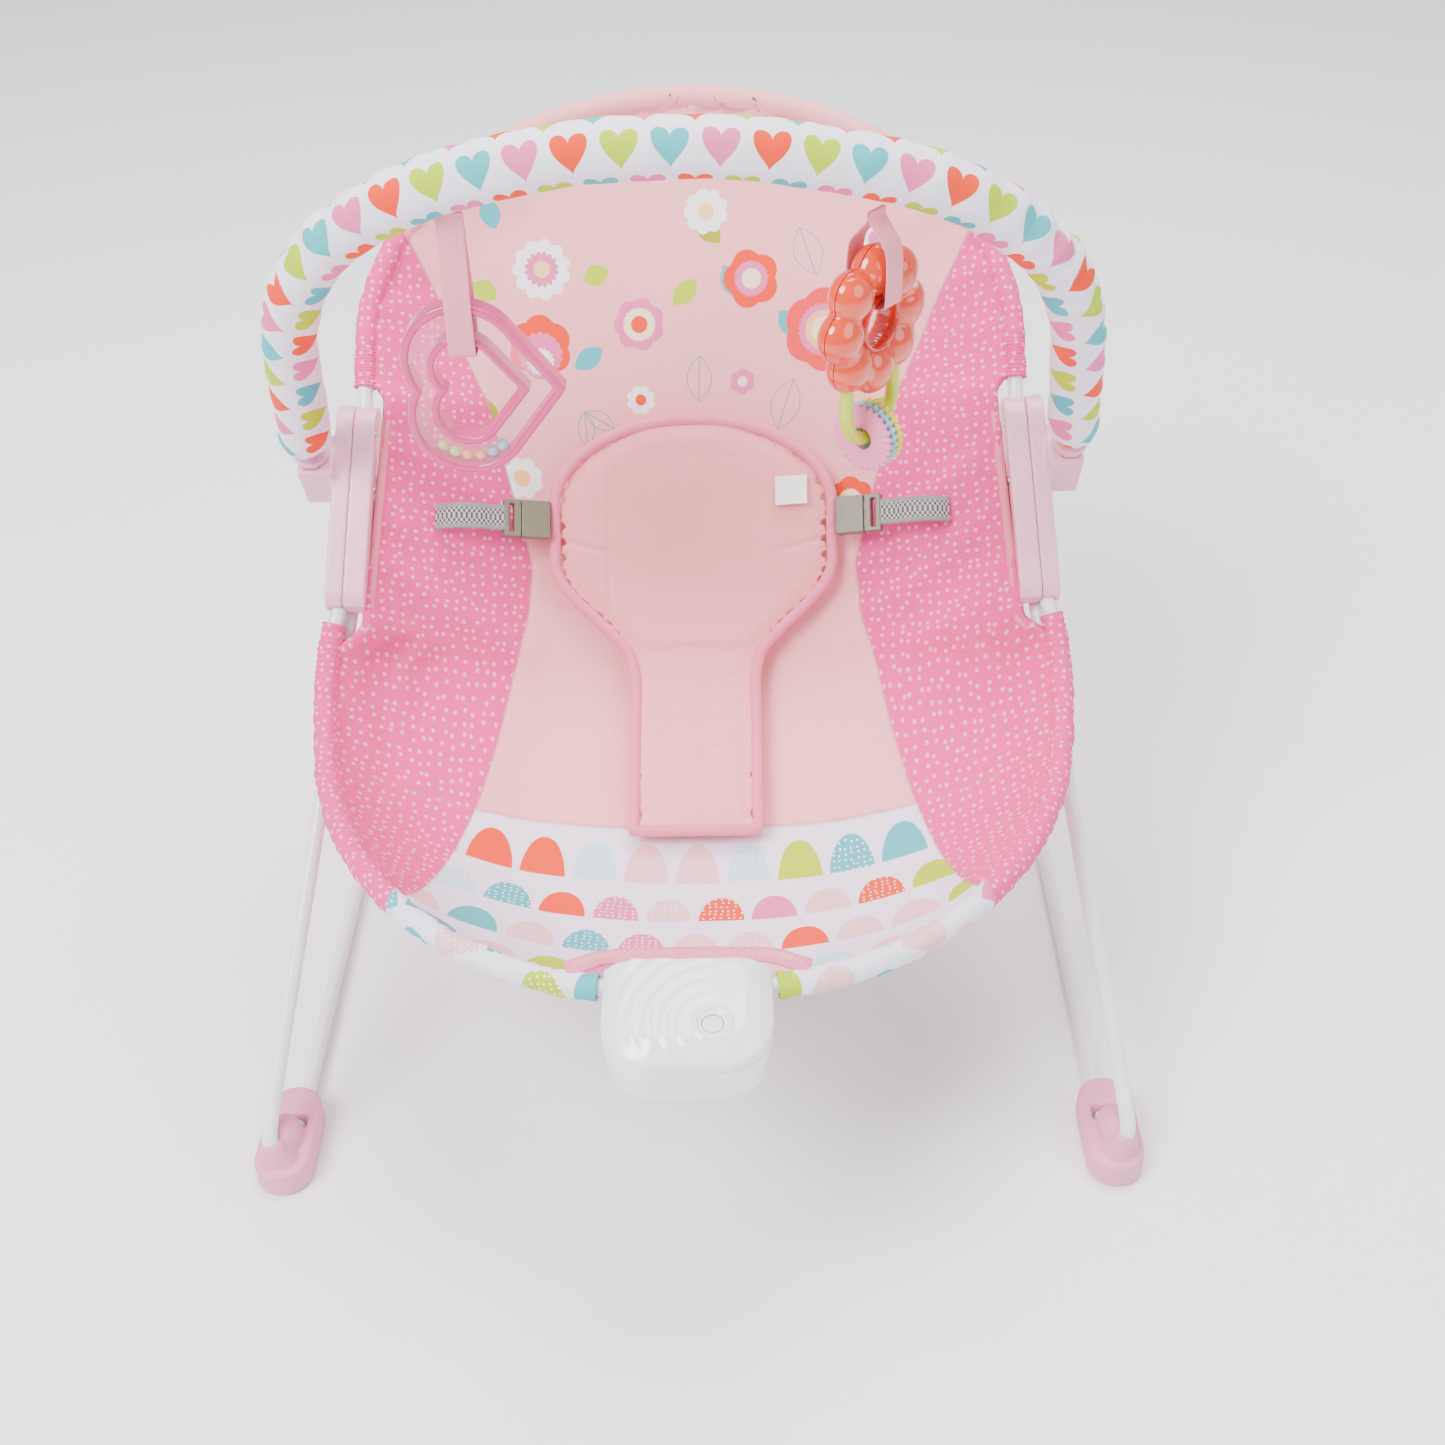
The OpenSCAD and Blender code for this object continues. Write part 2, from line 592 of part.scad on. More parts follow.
// Flower teether: two petal shells round a hole, turned away from the front
flower_turn = 50;
flower_drop = 58;
petal_r = 12.5;
petal_c = 25;
flower_hole = 12;
shell_t = 10;
module flower_frame() {
    translate([toy_x, hang_y, hang_z - flower_drop]) rotate([0, 0, flower_turn]) rotate([90, 0, 0]) children();
}
module flower_shell() {
    floor_t = 2;
    difference() {
        translate([0, 0, 0.05]) union() {
            cylinder(h = shell_t, r = petal_c);
            for (k = [0 : 7]) rotate(45 * k) translate([petal_c, 0, 0]) cylinder(h = shell_t, r = petal_r);
        }
        translate([0, 0, -1]) cylinder(h = shell_t + 2, r = flower_hole);
        translate([0, 0, -1]) difference() {
            cylinder(h = shell_t - floor_t + 1, r = petal_c - 1);
            translate([0, 0, -1]) cylinder(h = shell_t + 3, r = flower_hole + 2);
        }
        handle_sockets();
    }
}
module flower_front() {
    color("orangered") flower_frame() flower_shell();
}
module flower_back() {
    color("orangered") flower_frame() mirror([0, 0, 1]) flower_shell();
}
module flower_ribbon() {
    color("pink") translate([toy_x, hang_y, hang_z]) rotate([0, 0, flower_turn])
        ribbon_loop(3.6, flower_drop - petal_c - petal_r - 1, flower_drop - flower_hole + 2, shell_t + 1.2);
}
// Handle under the flower, held between its shells, with three pleated discs on it
loop_r = 19;
loop_t = 3.4;
loop_drop = 43;                           // from the flower's middle to the loop's centre
disc_r = 18;
disc_t = 4;
module loop_handle() {
    color("greenyellow") flower_frame() {
        translate([0, -loop_drop, 0]) rotate([0, 0, 180]) rotate_extrude(angle = 180, $fn = 48)
            translate([loop_r, 0]) circle(r = loop_t);
        for (s = [-1, 1]) translate([s * loop_r, -loop_drop, 0]) rotate([-90, 0, 0])
            cylinder(h = loop_drop - 26, r = loop_t);
    }
}
module handle_sockets() {
    for (s = [-1, 1]) translate([s * loop_r, -loop_drop, 0]) rotate([-90, 0, 0])
        cylinder(h = loop_drop - 25.5, r = loop_t + 0.1);
}
module disc(i) {
    flower_frame() translate([i * (disc_t + 0.4) - disc_t / 2, -loop_drop - loop_r + 0.5, 0])
        rotate([0, 90, 0]) difference() {
            cylinder(h = disc_t, r = disc_r);
            translate([0, 0, -1]) cylinder(h = disc_t + 2, r = 5.5);
        }
}
module pink_disc() color("pink") disc(-1);
module blue_disc() color("skyblue") disc(0);
module yellow_disc() color("yellow") disc(1);

base_tube();
front_foot_left();
front_foot_right();
rear_foot_left();
rear_foot_right();
leg_tube_left();
leg_tube_right();
seat_tube();
back_tube();
hub_outer_left();
hub_outer_right();
hub_inner_left();
hub_inner_right();
hub_screws();
seat_pad();
seat_hem();
back_hem();
crotch_pad();
waist_strap_left();
waist_strap_right();
buckle_socket_left();
buckle_socket_right();
buckle_plug_left();
buckle_plug_right();
side_tag();
unit_top_cover();
unit_bottom_cover();
unit_clamp();
unit_screws();
power_button();
circuit_board();
battery_cell();
battery_contacts();
battery_door();
door_screw();
vibration_motor();
motor_weight();
toy_bar_tube();
toy_bar_sleeve();
toy_bar_plug_left();
toy_bar_plug_right();
heart_ribbon();
heart_outer_rim();
heart_inner_rim();
heart_window_front();
heart_window_back();
heart_beads();
flower_ribbon();
flower_front();
flower_back();
loop_handle();
pink_disc();
blue_disc();
yellow_disc();
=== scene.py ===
import math
import random

import bpy
from mathutils import Matrix, Vector, noise


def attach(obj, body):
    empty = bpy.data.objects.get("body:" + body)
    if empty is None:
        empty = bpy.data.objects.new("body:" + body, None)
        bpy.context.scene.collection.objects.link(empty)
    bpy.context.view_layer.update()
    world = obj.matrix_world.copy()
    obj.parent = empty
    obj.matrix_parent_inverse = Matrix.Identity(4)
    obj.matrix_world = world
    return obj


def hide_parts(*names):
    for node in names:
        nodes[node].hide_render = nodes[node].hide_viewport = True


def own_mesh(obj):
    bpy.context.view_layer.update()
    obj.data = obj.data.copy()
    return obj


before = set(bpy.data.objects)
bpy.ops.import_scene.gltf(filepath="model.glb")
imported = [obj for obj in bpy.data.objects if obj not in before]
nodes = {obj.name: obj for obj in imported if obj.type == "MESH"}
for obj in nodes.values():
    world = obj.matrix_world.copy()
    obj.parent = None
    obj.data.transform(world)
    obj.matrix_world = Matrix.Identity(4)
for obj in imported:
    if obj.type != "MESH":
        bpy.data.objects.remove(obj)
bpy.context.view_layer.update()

random.seed(7)
mm = 0.001
view = {"place": (0.0269, -0.815, 0.792), "pitch": 38, "roll": 1.0, "lens": 43.6}


def ease(t):
    t = max(0.0, min(1.0, t))
    return t * t * (3 - 2 * t)


def step(text):
    print("stage:", text)


def pickNone():
    bpy.ops.object.select_all(action="DESELECT")


def pickOnly(obj):
    pickNone()
    obj.select_set(True)
    bpy.context.view_layer.objects.active = obj


def applyAll(obj):
    pickOnly(obj)
    for mod in list(obj.modifiers):
        bpy.ops.object.modifier_apply(modifier=mod.name)


def smoothShade(obj, angle=None):
    pickOnly(obj)
    if angle is None:
        bpy.ops.object.shade_smooth()
    else:
        bpy.ops.object.shade_smooth_by_angle(angle=math.radians(angle))


def meshPiece(name, verts, faces, maps=None):
    # maps is {uv map name: one (u, v) per vertex}
    mesh = bpy.data.meshes.new(name)
    mesh.from_pydata([tuple(v) for v in verts], [], faces)
    for mapName, pairs in (maps or {}).items():
        layer = mesh.uv_layers.new(name=mapName)
        for loop in mesh.loops:
            layer.data[loop.index].uv = pairs[loop.vertex_index]
    mesh.validate()
    obj = bpy.data.objects.new(name, mesh)
    bpy.context.scene.collection.objects.link(obj)
    return obj


def joined(name, parts):
    pickNone()
    for part in parts:
        part.select_set(True)
    bpy.context.view_layer.objects.active = parts[0]
    if len(parts) > 1:
        bpy.ops.object.join()
    obj = bpy.context.view_layer.objects.active
    obj.name = name
    return obj


def settle(obj):
    # the object's place goes into its mesh
    pickOnly(obj)
    bpy.ops.object.transform_apply(location=True, rotation=True, scale=True)
    return obj


def facesOut(obj):
    pickOnly(obj)
    bpy.ops.object.mode_set(mode="EDIT")
    bpy.ops.mesh.select_all(action="SELECT")
    bpy.ops.mesh.remove_doubles(threshold=0.00001)
    bpy.ops.mesh.normals_make_consistent(inside=False)
    bpy.ops.object.mode_set(mode="OBJECT")
    return obj


def dress(obj, mats, body, replaced=()):
    for mat in mats if isinstance(mats, (list, tuple)) else [mats]:
        obj.data.materials.append(mat)
    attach(obj, body)
    if replaced:
        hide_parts(*replaced)
    return obj


def nodeCopy(nodeName, name):
    source = nodes[nodeName]
    obj = bpy.data.objects.new(name, source.data.copy())
    bpy.context.scene.collection.objects.link(obj)
    obj.data.materials.clear()
    return facesOut(obj)


def moulded(nodeName, name, voxel=0.9, rounds=6):
    # a CAD solid with its edges rounded as a mould leaves them
    obj = nodeCopy(nodeName, name)
    remesh = obj.modifiers.new("skin", "REMESH")
    remesh.mode = "VOXEL"
    remesh.voxel_size = voxel * mm
    soften = obj.modifiers.new("round", "SMOOTH")
    soften.factor = 0.5
    soften.iterations = rounds
    applyAll(obj)
    smoothShade(obj)
    return obj


def sweep(name, path, section, sides=16, closed=False, start=None, maps=True, caps=True):
    # section(s, a) gives the offset (along the first normal, along the second) at length s and angle a
    count = len(path)
    path = [Vector(p) for p in path]
    def heading(i):
        if closed:
            return (path[(i + 1) % count] - path[i - 1]).normalized()
        return (path[min(i + 1, count - 1)] - path[max(i - 1, 0)]).normalized()
    first = heading(0)
    normal = Vector(start) if start else (Vector((0, 0, 1)) if abs(first.z) < 0.9 else Vector((0, 1, 0)))
    verts, pairs, length = [], [], 0.0
    for i in range(count):
        tangent = heading(i)
        normal = (normal - tangent * normal.dot(tangent)).normalized()
        side = tangent.cross(normal)
        if i:
            length += (path[i] - path[i - 1]).length
        for k in range(sides + 1):
            angle = 2 * math.pi * (k % sides) / sides
            out, across = section(length, angle)
            verts.append(path[i] + normal * out + side * across)
            pairs.append((length, k / sides * 0.09))
    row = sides + 1
    faces = []
    for i in range(count if closed else count - 1):
        j = (i + 1) % count
        for k in range(sides):
            faces.append((i * row + k, j * row + k, j * row + k + 1, i * row + k + 1))
    if caps and not closed:
        for i, turn in ((0, 1), (count - 1, -1)):
            ring = [i * row + k for k in range(sides)]
            faces.append(ring[::turn] if turn == 1 else ring[::-1])
    obj = meshPiece(name, verts, faces, {"cloth": pairs} if maps else None)
    facesOut(obj)
    smoothShade(obj, 50)
    return obj


def curvePoints(knots, count):
    # a smooth curve through the knots, evenly numbered
    knots = [Vector(k) for k in knots]
    ends = [2 * knots[0] - knots[1]] + knots + [2 * knots[-1] - knots[-2]]
    spans = len(knots) - 1
    points = []
    for n in range(count):
        at = n / (count - 1) * spans
        i = min(int(at), spans - 1)
        t = at - i
        a, b, c, d = ends[i:i + 4]
        points.append(0.5 * (2 * b + (c - a) * t + (2 * a - 5 * b + 4 * c - d) * t * t +
            (3 * b - 3 * c + d - a) * t * t * t))
    return points


# shared effects and the materials that use them
def nodeGroup(name, inputs, outputs):
    tree = bpy.data.node_groups.new(name, "ShaderNodeTree")
    for label, value in inputs.items():
        kind = "NodeSocketVector" if value is None else "NodeSocketFloat"
        socket = tree.interface.new_socket(name=label, in_out="INPUT", socket_type=kind)
        if value is not None:
            socket.default_value = value
    for label in outputs:
        tree.interface.new_socket(name=label, in_out="OUTPUT", socket_type="NodeSocketFloat")
    source = tree.nodes.new("NodeGroupInput")
    target = tree.nodes.new("NodeGroupOutput")
    return tree, source.outputs, target.inputs


def calc(tree, kind, *values, clamp=False):
    node = tree.nodes.new("ShaderNodeMath")
    node.operation = kind
    node.use_clamp = clamp
    for i, value in enumerate(values):
        if isinstance(value, (int, float)):
            node.inputs[i].default_value = value
        else:
            tree.links.new(value, node.inputs[i])
    return node.outputs[0]


def sumNode(kind):
    return lambda tree, *values, clamp=False: calc(tree, kind, *values, clamp=clamp)


add, sub, mul, div = (sumNode(kind) for kind in ("ADD", "SUBTRACT", "MULTIPLY", "DIVIDE"))


def parts(tree, vector):
    node = tree.nodes.new("ShaderNodeSeparateXYZ")
    tree.links.new(vector, node.inputs[0])
    return node.outputs[0], node.outputs[1], node.outputs[2]


def softStep(tree, value, low, high):
    node = tree.nodes.new("ShaderNodeMapRange")
    node.interpolation_type = "SMOOTHSTEP"
    tree.links.new(value, node.inputs["Value"])
    for label, given in (("From Min", low), ("From Max", high)):
        if isinstance(given, (int, float)):
            node.inputs[label].default_value = given
        else:
            tree.links.new(given, node.inputs[label])
    return node.outputs[0]


def weaveGroup():
    tree, given, result = nodeGroup("clothWeave", {"Vector": None, "Threads": 900.0}, ["Height", "Shade"])
    x, y = parts(tree, given["Vector"])[:2]
    across = mul(tree, x, given["Threads"])
    down = mul(tree, y, given["Threads"])
    warp = calc(tree, "ABSOLUTE", calc(tree, "SINE", across))
    weft = calc(tree, "ABSOLUTE", calc(tree, "SINE", down))
    cell = calc(tree, "SINE", add(tree, across, down))
    over = softStep(tree, cell, -0.3, 0.3)
    height = add(tree, mul(tree, warp, over), mul(tree, weft, sub(tree, 1.0, over)))
    tree.links.new(height, result["Height"])
    slub = tree.nodes.new("ShaderNodeTexNoise")
    slub.inputs["Scale"].default_value = 260
    slub.inputs["Detail"].default_value = 2
    tree.links.new(given["Vector"], slub.inputs["Vector"])
    tree.links.new(slub.outputs[0], result["Shade"])
    return tree


def dotGroup():
    tree, given, result = nodeGroup("scatteredDots", {"Vector": None, "Pitch": 0.006, "Size": 0.24},
        ["Mask"])
    cells = tree.nodes.new("ShaderNodeTexVoronoi")
    cells.voronoi_dimensions = "2D"
    cells.inputs["Randomness"].default_value = 0.55
    tree.links.new(given["Vector"], cells.inputs["Vector"])
    tree.links.new(div(tree, 1.0, given["Pitch"]), cells.inputs["Scale"])
    edge = add(tree, given["Size"], 0.05)
    mask = softStep(tree, cells.outputs["Distance"], edge, given["Size"])
    tree.links.new(mask, result["Mask"])
    return tree


def heartGroup():
    # staggered rows of hearts; Pick steps through the colours
    tree, given, result = nodeGroup("heartRows", {"Vector": None, "Length": 0.0215, "Width": 0.0225},
        ["Mask", "Pick"])
    u, v = parts(tree, given["Vector"])[:2]
    rowAt = div(tree, v, given["Width"])
    row = calc(tree, "FLOOR", rowAt)
    shifted = add(tree, div(tree, u, given["Length"]), mul(tree, calc(tree, "FLOORED_MODULO", row, 2.0),
        0.5))
    cell = calc(tree, "FLOOR", shifted)
    x = mul(tree, sub(tree, calc(tree, "FRACT", shifted), 0.5), 1.95)
    y = mul(tree, sub(tree, calc(tree, "FRACT", rowAt), 0.54), 1.95)
    lobes = calc(tree, "POWER", calc(tree, "ABSOLUTE", x), 0.5)
    bent = add(tree, mul(tree, y, 1.15), sub(tree, 0.38, mul(tree, lobes, 0.92)))
    reach = add(tree, mul(tree, x, x), mul(tree, bent, bent))
    tree.links.new(softStep(tree, reach, 0.56, 0.52), result["Mask"])
    pick = calc(tree, "FRACT", div(tree, add(tree, cell, mul(tree, row, 2.0)), 4.0))
    tree.links.new(add(tree, pick, 0.125), result["Pick"])
    return tree


def hillGroup():
    # rows of half-oval hills, some of them dotted
    tree, given, result = nodeGroup("hillRows", {"Vector": None, "Length": 0.0285, "Width": 0.033},
        ["Mask", "Pick", "Dots"])
    u, v = parts(tree, given["Vector"])[:2]
    rowAt = div(tree, add(tree, v, 0.018), given["Width"])
    row = calc(tree, "FLOOR", rowAt)
    shifted = add(tree, div(tree, u, given["Length"]), mul(tree, calc(tree, "FLOORED_MODULO", row, 2.0),
        0.47))
    cell = calc(tree, "FLOOR", shifted)
    x = div(tree, sub(tree, calc(tree, "FRACT", shifted), 0.5), 0.43)
    y = div(tree, sub(tree, calc(tree, "FRACT", rowAt), 0.14), 0.64)
    reach = add(tree, calc(tree, "POWER", calc(tree, "ABSOLUTE", x), 2.2), mul(tree, y, y))
    above = softStep(tree, y, 0.0, 0.04)
    tree.links.new(mul(tree, softStep(tree, reach, 1.04, 0.98), above), result["Mask"])
    spot = tree.nodes.new("ShaderNodeCombineXYZ")
    tree.links.new(cell, spot.inputs[0])
    tree.links.new(row, spot.inputs[1])
    lot = tree.nodes.new("ShaderNodeTexWhiteNoise")
    lot.noise_dimensions = "3D"
    tree.links.new(spot.outputs[0], lot.inputs["Vector"])
    tree.links.new(lot.outputs["Value"], result["Pick"])
    cells = tree.nodes.new("ShaderNodeTexVoronoi")
    cells.voronoi_dimensions = "2D"
    cells.inputs["Scale"].default_value = 290
    cells.inputs["Randomness"].default_value = 0.4
    tree.links.new(given["Vector"], cells.inputs["Vector"])
    chosen = softStep(tree, calc(tree, "FRACT", mul(tree, lot.outputs["Value"], 7.3)), 0.66, 0.67)
    tree.links.new(mul(tree, softStep(tree, cells.outputs["Distance"], 0.21, 0.16), chosen), result["Dots"])
    return tree


def bloomGroup():
    # a round shape with Petals lobes, centred at X, Y
    tree, given, result = nodeGroup("petalRound", {"Vector": None, "X": 0.0, "Y": 0.0, "Radius": 0.01,
        "Petals": 8.0, "Depth": 0.1, "Turn": 0.0}, ["Mask"])
    u, v = parts(tree, given["Vector"])[:2]
    dx = sub(tree, u, given["X"])
    dy = sub(tree, v, given["Y"])
    away = calc(tree, "SQRT", add(tree, mul(tree, dx, dx), mul(tree, dy, dy)))
    angle = add(tree, calc(tree, "ARCTAN2", dy, dx), given["Turn"])
    wave = calc(tree, "ABSOLUTE", calc(tree, "SINE", mul(tree, angle, mul(tree, given["Petals"], 0.5))))
    edge = mul(tree, given["Radius"], add(tree, sub(tree, 1.0, given["Depth"]),
        mul(tree, wave, given["Depth"])))
    tree.links.new(softStep(tree, sub(tree, away, edge), 0.00025, -0.00025), result["Mask"])
    return tree


def leafGroup():
    # the outline and the midrib of a leaf that starts at X, Y and points along Turn
    tree, given, result = nodeGroup("leafLine", {"Vector": None, "X": 0.0, "Y": 0.0, "Turn": 0.0, "Length":
        0.02, "Width": 0.005, "Pen": 0.0006}, ["Mask", "Fill"])
    u, v = parts(tree, given["Vector"])[:2]
    dx = sub(tree, u, given["X"])
    dy = sub(tree, v, given["Y"])
    cosTurn, sinTurn = calc(tree, "COSINE", given["Turn"]), calc(tree, "SINE", given["Turn"])
    alongLeaf = add(tree, mul(tree, dx, cosTurn), mul(tree, dy, sinTurn))
    acrossLeaf = calc(tree, "ABSOLUTE", sub(tree, mul(tree, dy, cosTurn), mul(tree, dx, sinTurn)))
    t = div(tree, alongLeaf, given["Length"], clamp=True)
    bulge = mul(tree, mul(tree, t, sub(tree, 1.0, t)), 4.0)
    half = mul(tree, given["Width"], bulge)
    inside = softStep(tree, sub(tree, acrossLeaf, half), 0.0002, -0.0002)
    inner = softStep(tree, sub(tree, acrossLeaf, sub(tree, half, given["Pen"])), 0.0002, -0.0002)
    rib = softStep(tree, sub(tree, acrossLeaf, mul(tree, given["Pen"], 0.5)), 0.0002, -0.0002)
    within = softStep(tree, bulge, 0.0, 0.02)
    line = calc(tree, "MAXIMUM", sub(tree, inside, inner, clamp=True), rib)
    tree.links.new(mul(tree, line, within), result["Mask"])
    tree.links.new(mul(tree, inside, within), result["Fill"])
    return tree


def grainGroup():
    # fine moulding grain with slow changes of gloss
    tree, given, result = nodeGroup("mouldGrain", {"Vector": None, "Scale": 900.0}, ["Height", "Gloss"])
    fine = tree.nodes.new("ShaderNodeTexNoise")
    fine.inputs["Detail"].default_value = 3
    tree.links.new(given["Vector"], fine.inputs["Vector"])
    tree.links.new(given["Scale"], fine.inputs["Scale"])
    slow = tree.nodes.new("ShaderNodeTexNoise")
    slow.inputs["Scale"].default_value = 45
    slow.inputs["Detail"].default_value = 2
    tree.links.new(given["Vector"], slow.inputs["Vector"])
    tree.links.new(fine.outputs[0], result["Height"])
    tree.links.new(slow.outputs[0], result["Gloss"])
    return tree


groups = {"weave": weaveGroup(), "dots": dotGroup(), "hearts": heartGroup(), "hills": hillGroup(), "bloom":
    bloomGroup(), "leaf": leafGroup(), "grain": grainGroup()}


def useGroup(tree, name, vector, **values):
    node = tree.nodes.new("ShaderNodeGroup")
    node.node_tree = groups[name]
    tree.links.new(vector, node.inputs["Vector"])
    for label, value in values.items():
        node.inputs[label].default_value = value
    return node.outputs


def mixColor(tree, mask, low, high):
    node = tree.nodes.new("ShaderNodeMix")
    node.data_type = "RGBA"
    for socket, value in ((node.inputs[0], mask), (node.inputs[6], low), (node.inputs[7], high)):
        if isinstance(value, (int, float)):
            socket.default_value = value
        elif isinstance(value, tuple):
            socket.default_value = (*value, 1)
        else:
            tree.links.new(value, socket)
    return node.outputs[2]


def pickColor(tree, value, colors):
    node = tree.nodes.new("ShaderNodeValToRGB")
    ramp = node.color_ramp
    ramp.interpolation = "CONSTANT"
    while len(ramp.elements) < len(colors):
        ramp.elements.new(0.5)
    for i, color in enumerate(colors):
        ramp.elements[i].position = i / len(colors)
        ramp.elements[i].color = (*color, 1)
    tree.links.new(value, node.inputs[0])
    return node.outputs[0]


def newMaterial(name, **sockets):
    mat = bpy.data.materials.new(name)
    mat.use_nodes = True
    tree = mat.node_tree
    shader = tree.nodes["Principled BSDF"]
    for label, value in sockets.items():
        shader.inputs[label.replace("_", " ")].default_value = value
    return mat, tree, shader


def surfaceVector(tree, mapName=None):
    if mapName:
        node = tree.nodes.new("ShaderNodeUVMap")
        node.uv_map = mapName
        return node.outputs[0]
    return tree.nodes.new("ShaderNodeTexCoord").outputs["Object"]


def addBump(tree, shader, height, strength, distance):
    node = tree.nodes.new("ShaderNodeBump")
    node.inputs["Strength"].default_value = strength
    node.inputs["Distance"].default_value = distance
    tree.links.new(height, node.inputs["Height"])
    tree.links.new(node.outputs[0], shader.inputs["Normal"])


def plastic(name, color, roughness=0.35, coat=0.0, grain=0.12, scale=900.0, **more):
    mat, tree, shader = newMaterial(name, **more)
    shader.inputs["Coat Weight"].default_value = coat
    shader.inputs["Coat Roughness"].default_value = 0.06
    out = useGroup(tree, "grain", surfaceVector(tree), Scale=scale)
    shade = mixColor(tree, out["Gloss"], tuple(c * 0.93 for c in color),
        tuple(min(1, c * 1.05) for c in color))
    tree.links.new(shade, shader.inputs["Base Color"])
    rough = add(tree, mul(tree, out["Gloss"], 0.12), roughness - 0.06)
    tree.links.new(rough, shader.inputs["Roughness"])
    addBump(tree, shader, out["Height"], grain, 0.0002)
    return mat


def cloth(name, paint, mapName="cloth", threads=2600.0, bump=0.35, slow=0.06, roughness=0.86):
    # paint(tree, vector) gives the printed colour
    mat, tree, shader = newMaterial(name, Roughness=roughness, Sheen_Weight=0.06, Sheen_Roughness=0.5)
    shader.inputs["Specular IOR Level"].default_value = 0.25
    vector = surfaceVector(tree, mapName)
    out = useGroup(tree, "weave", vector, Threads=threads)
    color = paint(tree, vector)
    dark = mixColor(tree, mul(tree, out["Shade"], slow), color, (0.25, 0.12, 0.16))
    tree.links.new(dark, shader.inputs["Base Color"])
    addBump(tree, shader, out["Height"], bump, 0.00022)
    return mat


tint = {"pink": (0.86, 0.05, 0.28), "dot": (0.96, 0.33, 0.52), "pale": (0.97, 0.38, 0.42), "white":
    (0.84, 0.80, 0.92), "teal": (0.06, 0.44, 0.50), "lime": (0.44, 0.60, 0.004), "orange":
    (0.84, 0.05, 0.01), "rose": (0.80, 0.15, 0.36), "leaf": (0.05, 0.34, 0.36), "moss": (0.36, 0.36, 0.01),
    "binding": (0.86, 0.22, 0.34), "cream": (0.92, 0.80, 0.55)}
paleHills = [tint["rose"], (0.90, 0.50, 0.56), tint["teal"], (0.55, 0.80, 0.88), tint["lime"],
    (0.90, 0.50, 0.56), tint["orange"]]


def paintDots(tree, vector):
    mask = useGroup(tree, "dots", vector, Pitch=0.0054, Size=0.17)["Mask"]
    return mixColor(tree, mask, tint["pink"], tint["dot"])


def paintHills(tree, vector):
    out = useGroup(tree, "hills", vector)
    hill = pickColor(tree, out["Pick"], paleHills)
    hill = mixColor(tree, out["Dots"], hill, (0.93, 0.93, 0.88))
    return mixColor(tree, out["Mask"], tint["white"], hill)


def paintHearts(tree, vector):
    out = useGroup(tree, "hearts", vector)
    heart = pickColor(tree, out["Pick"], [tint["teal"], tint["lime"], tint["orange"], tint["rose"]])
    return mixColor(tree, out["Mask"], tint["white"], heart)


# blooms are (x, along, radius, petals, depth, colour) and leaves (x, along, turn, length, width, colour)
blooms = [(-0.086, 0.468, 0.0170, 11, 0.16, (0.92, 0.90, 0.90)),
    (-0.086, 0.468, 0.0100, 16, 0.2, tint["rose"]), (-0.086, 0.468, 0.0048, 9, 0.05, (0.95, 0.62, 0.28)),
    (-0.088, 0.425, 0.0185, 6, 0.13, tint["orange"]), (-0.088, 0.421, 0.0130, 18, 0.1, tint["rose"]),
    (-0.088, 0.417, 0.0080, 18, 0.16, (0.93, 0.91, 0.9)), (0.078, 0.432, 0.0235, 6, 0.12,
    (0.86, 0.05, 0.05)), (0.078, 0.432, 0.0150, 34, 0.08, tint["rose"]),
    (0.078, 0.432, 0.0112, 40, 0.05, (0.95, 0.50, 0.22)), (0.078, 0.432, 0.0075, 30, 0.04, tint["cream"]),
    (-0.100, 0.350, 0.0120, 8, 0.18, (0.93, 0.91, 0.9)), (-0.100, 0.350, 0.0050, 10, 0.1,
    (0.95, 0.55, 0.2)), (0.092, 0.335, 0.0140, 6, 0.14, tint["orange"]),
    (0.092, 0.335, 0.0070, 20, 0.1, tint["cream"]), (0.010, 0.500, 0.0130, 9, 0.16, (0.92, 0.90, 0.9)),
    (0.010, 0.500, 0.0050, 9, 0.1, (0.95, 0.62, 0.28)), (-0.060, 0.285, 0.0110, 7, 0.16, tint["rose"]),
    (-0.060, 0.285, 0.0045, 12, 0.1, tint["cream"]), (-0.030, 0.438, 0.0150, 7, 0.14, tint["rose"]),
    (-0.030, 0.438, 0.0095, 22, 0.08, tint["cream"]), (-0.030, 0.438, 0.0050, 16, 0.06, tint["orange"]),
    (0.036, 0.462, 0.0165, 5, 0.16, tint["orange"]), (0.036, 0.462, 0.0100, 26, 0.1, tint["rose"]),
    (0.036, 0.462, 0.0058, 14, 0.06, tint["cream"]), (0.108, 0.482, 0.0105, 9, 0.2, (0.92, 0.90, 0.90)),
    (0.108, 0.482, 0.0042, 8, 0.1, tint["rose"]), (-0.030, 0.395, 0.0085, 8, 0.2, (0.92, 0.90, 0.90)),
    (-0.030, 0.395, 0.0034, 8, 0.1, tint["orange"]), (0.030, 0.405, 0.0075, 6, 0.16, tint["rose"]),
    (0.030, 0.405, 0.0030, 8, 0.1, tint["cream"])]
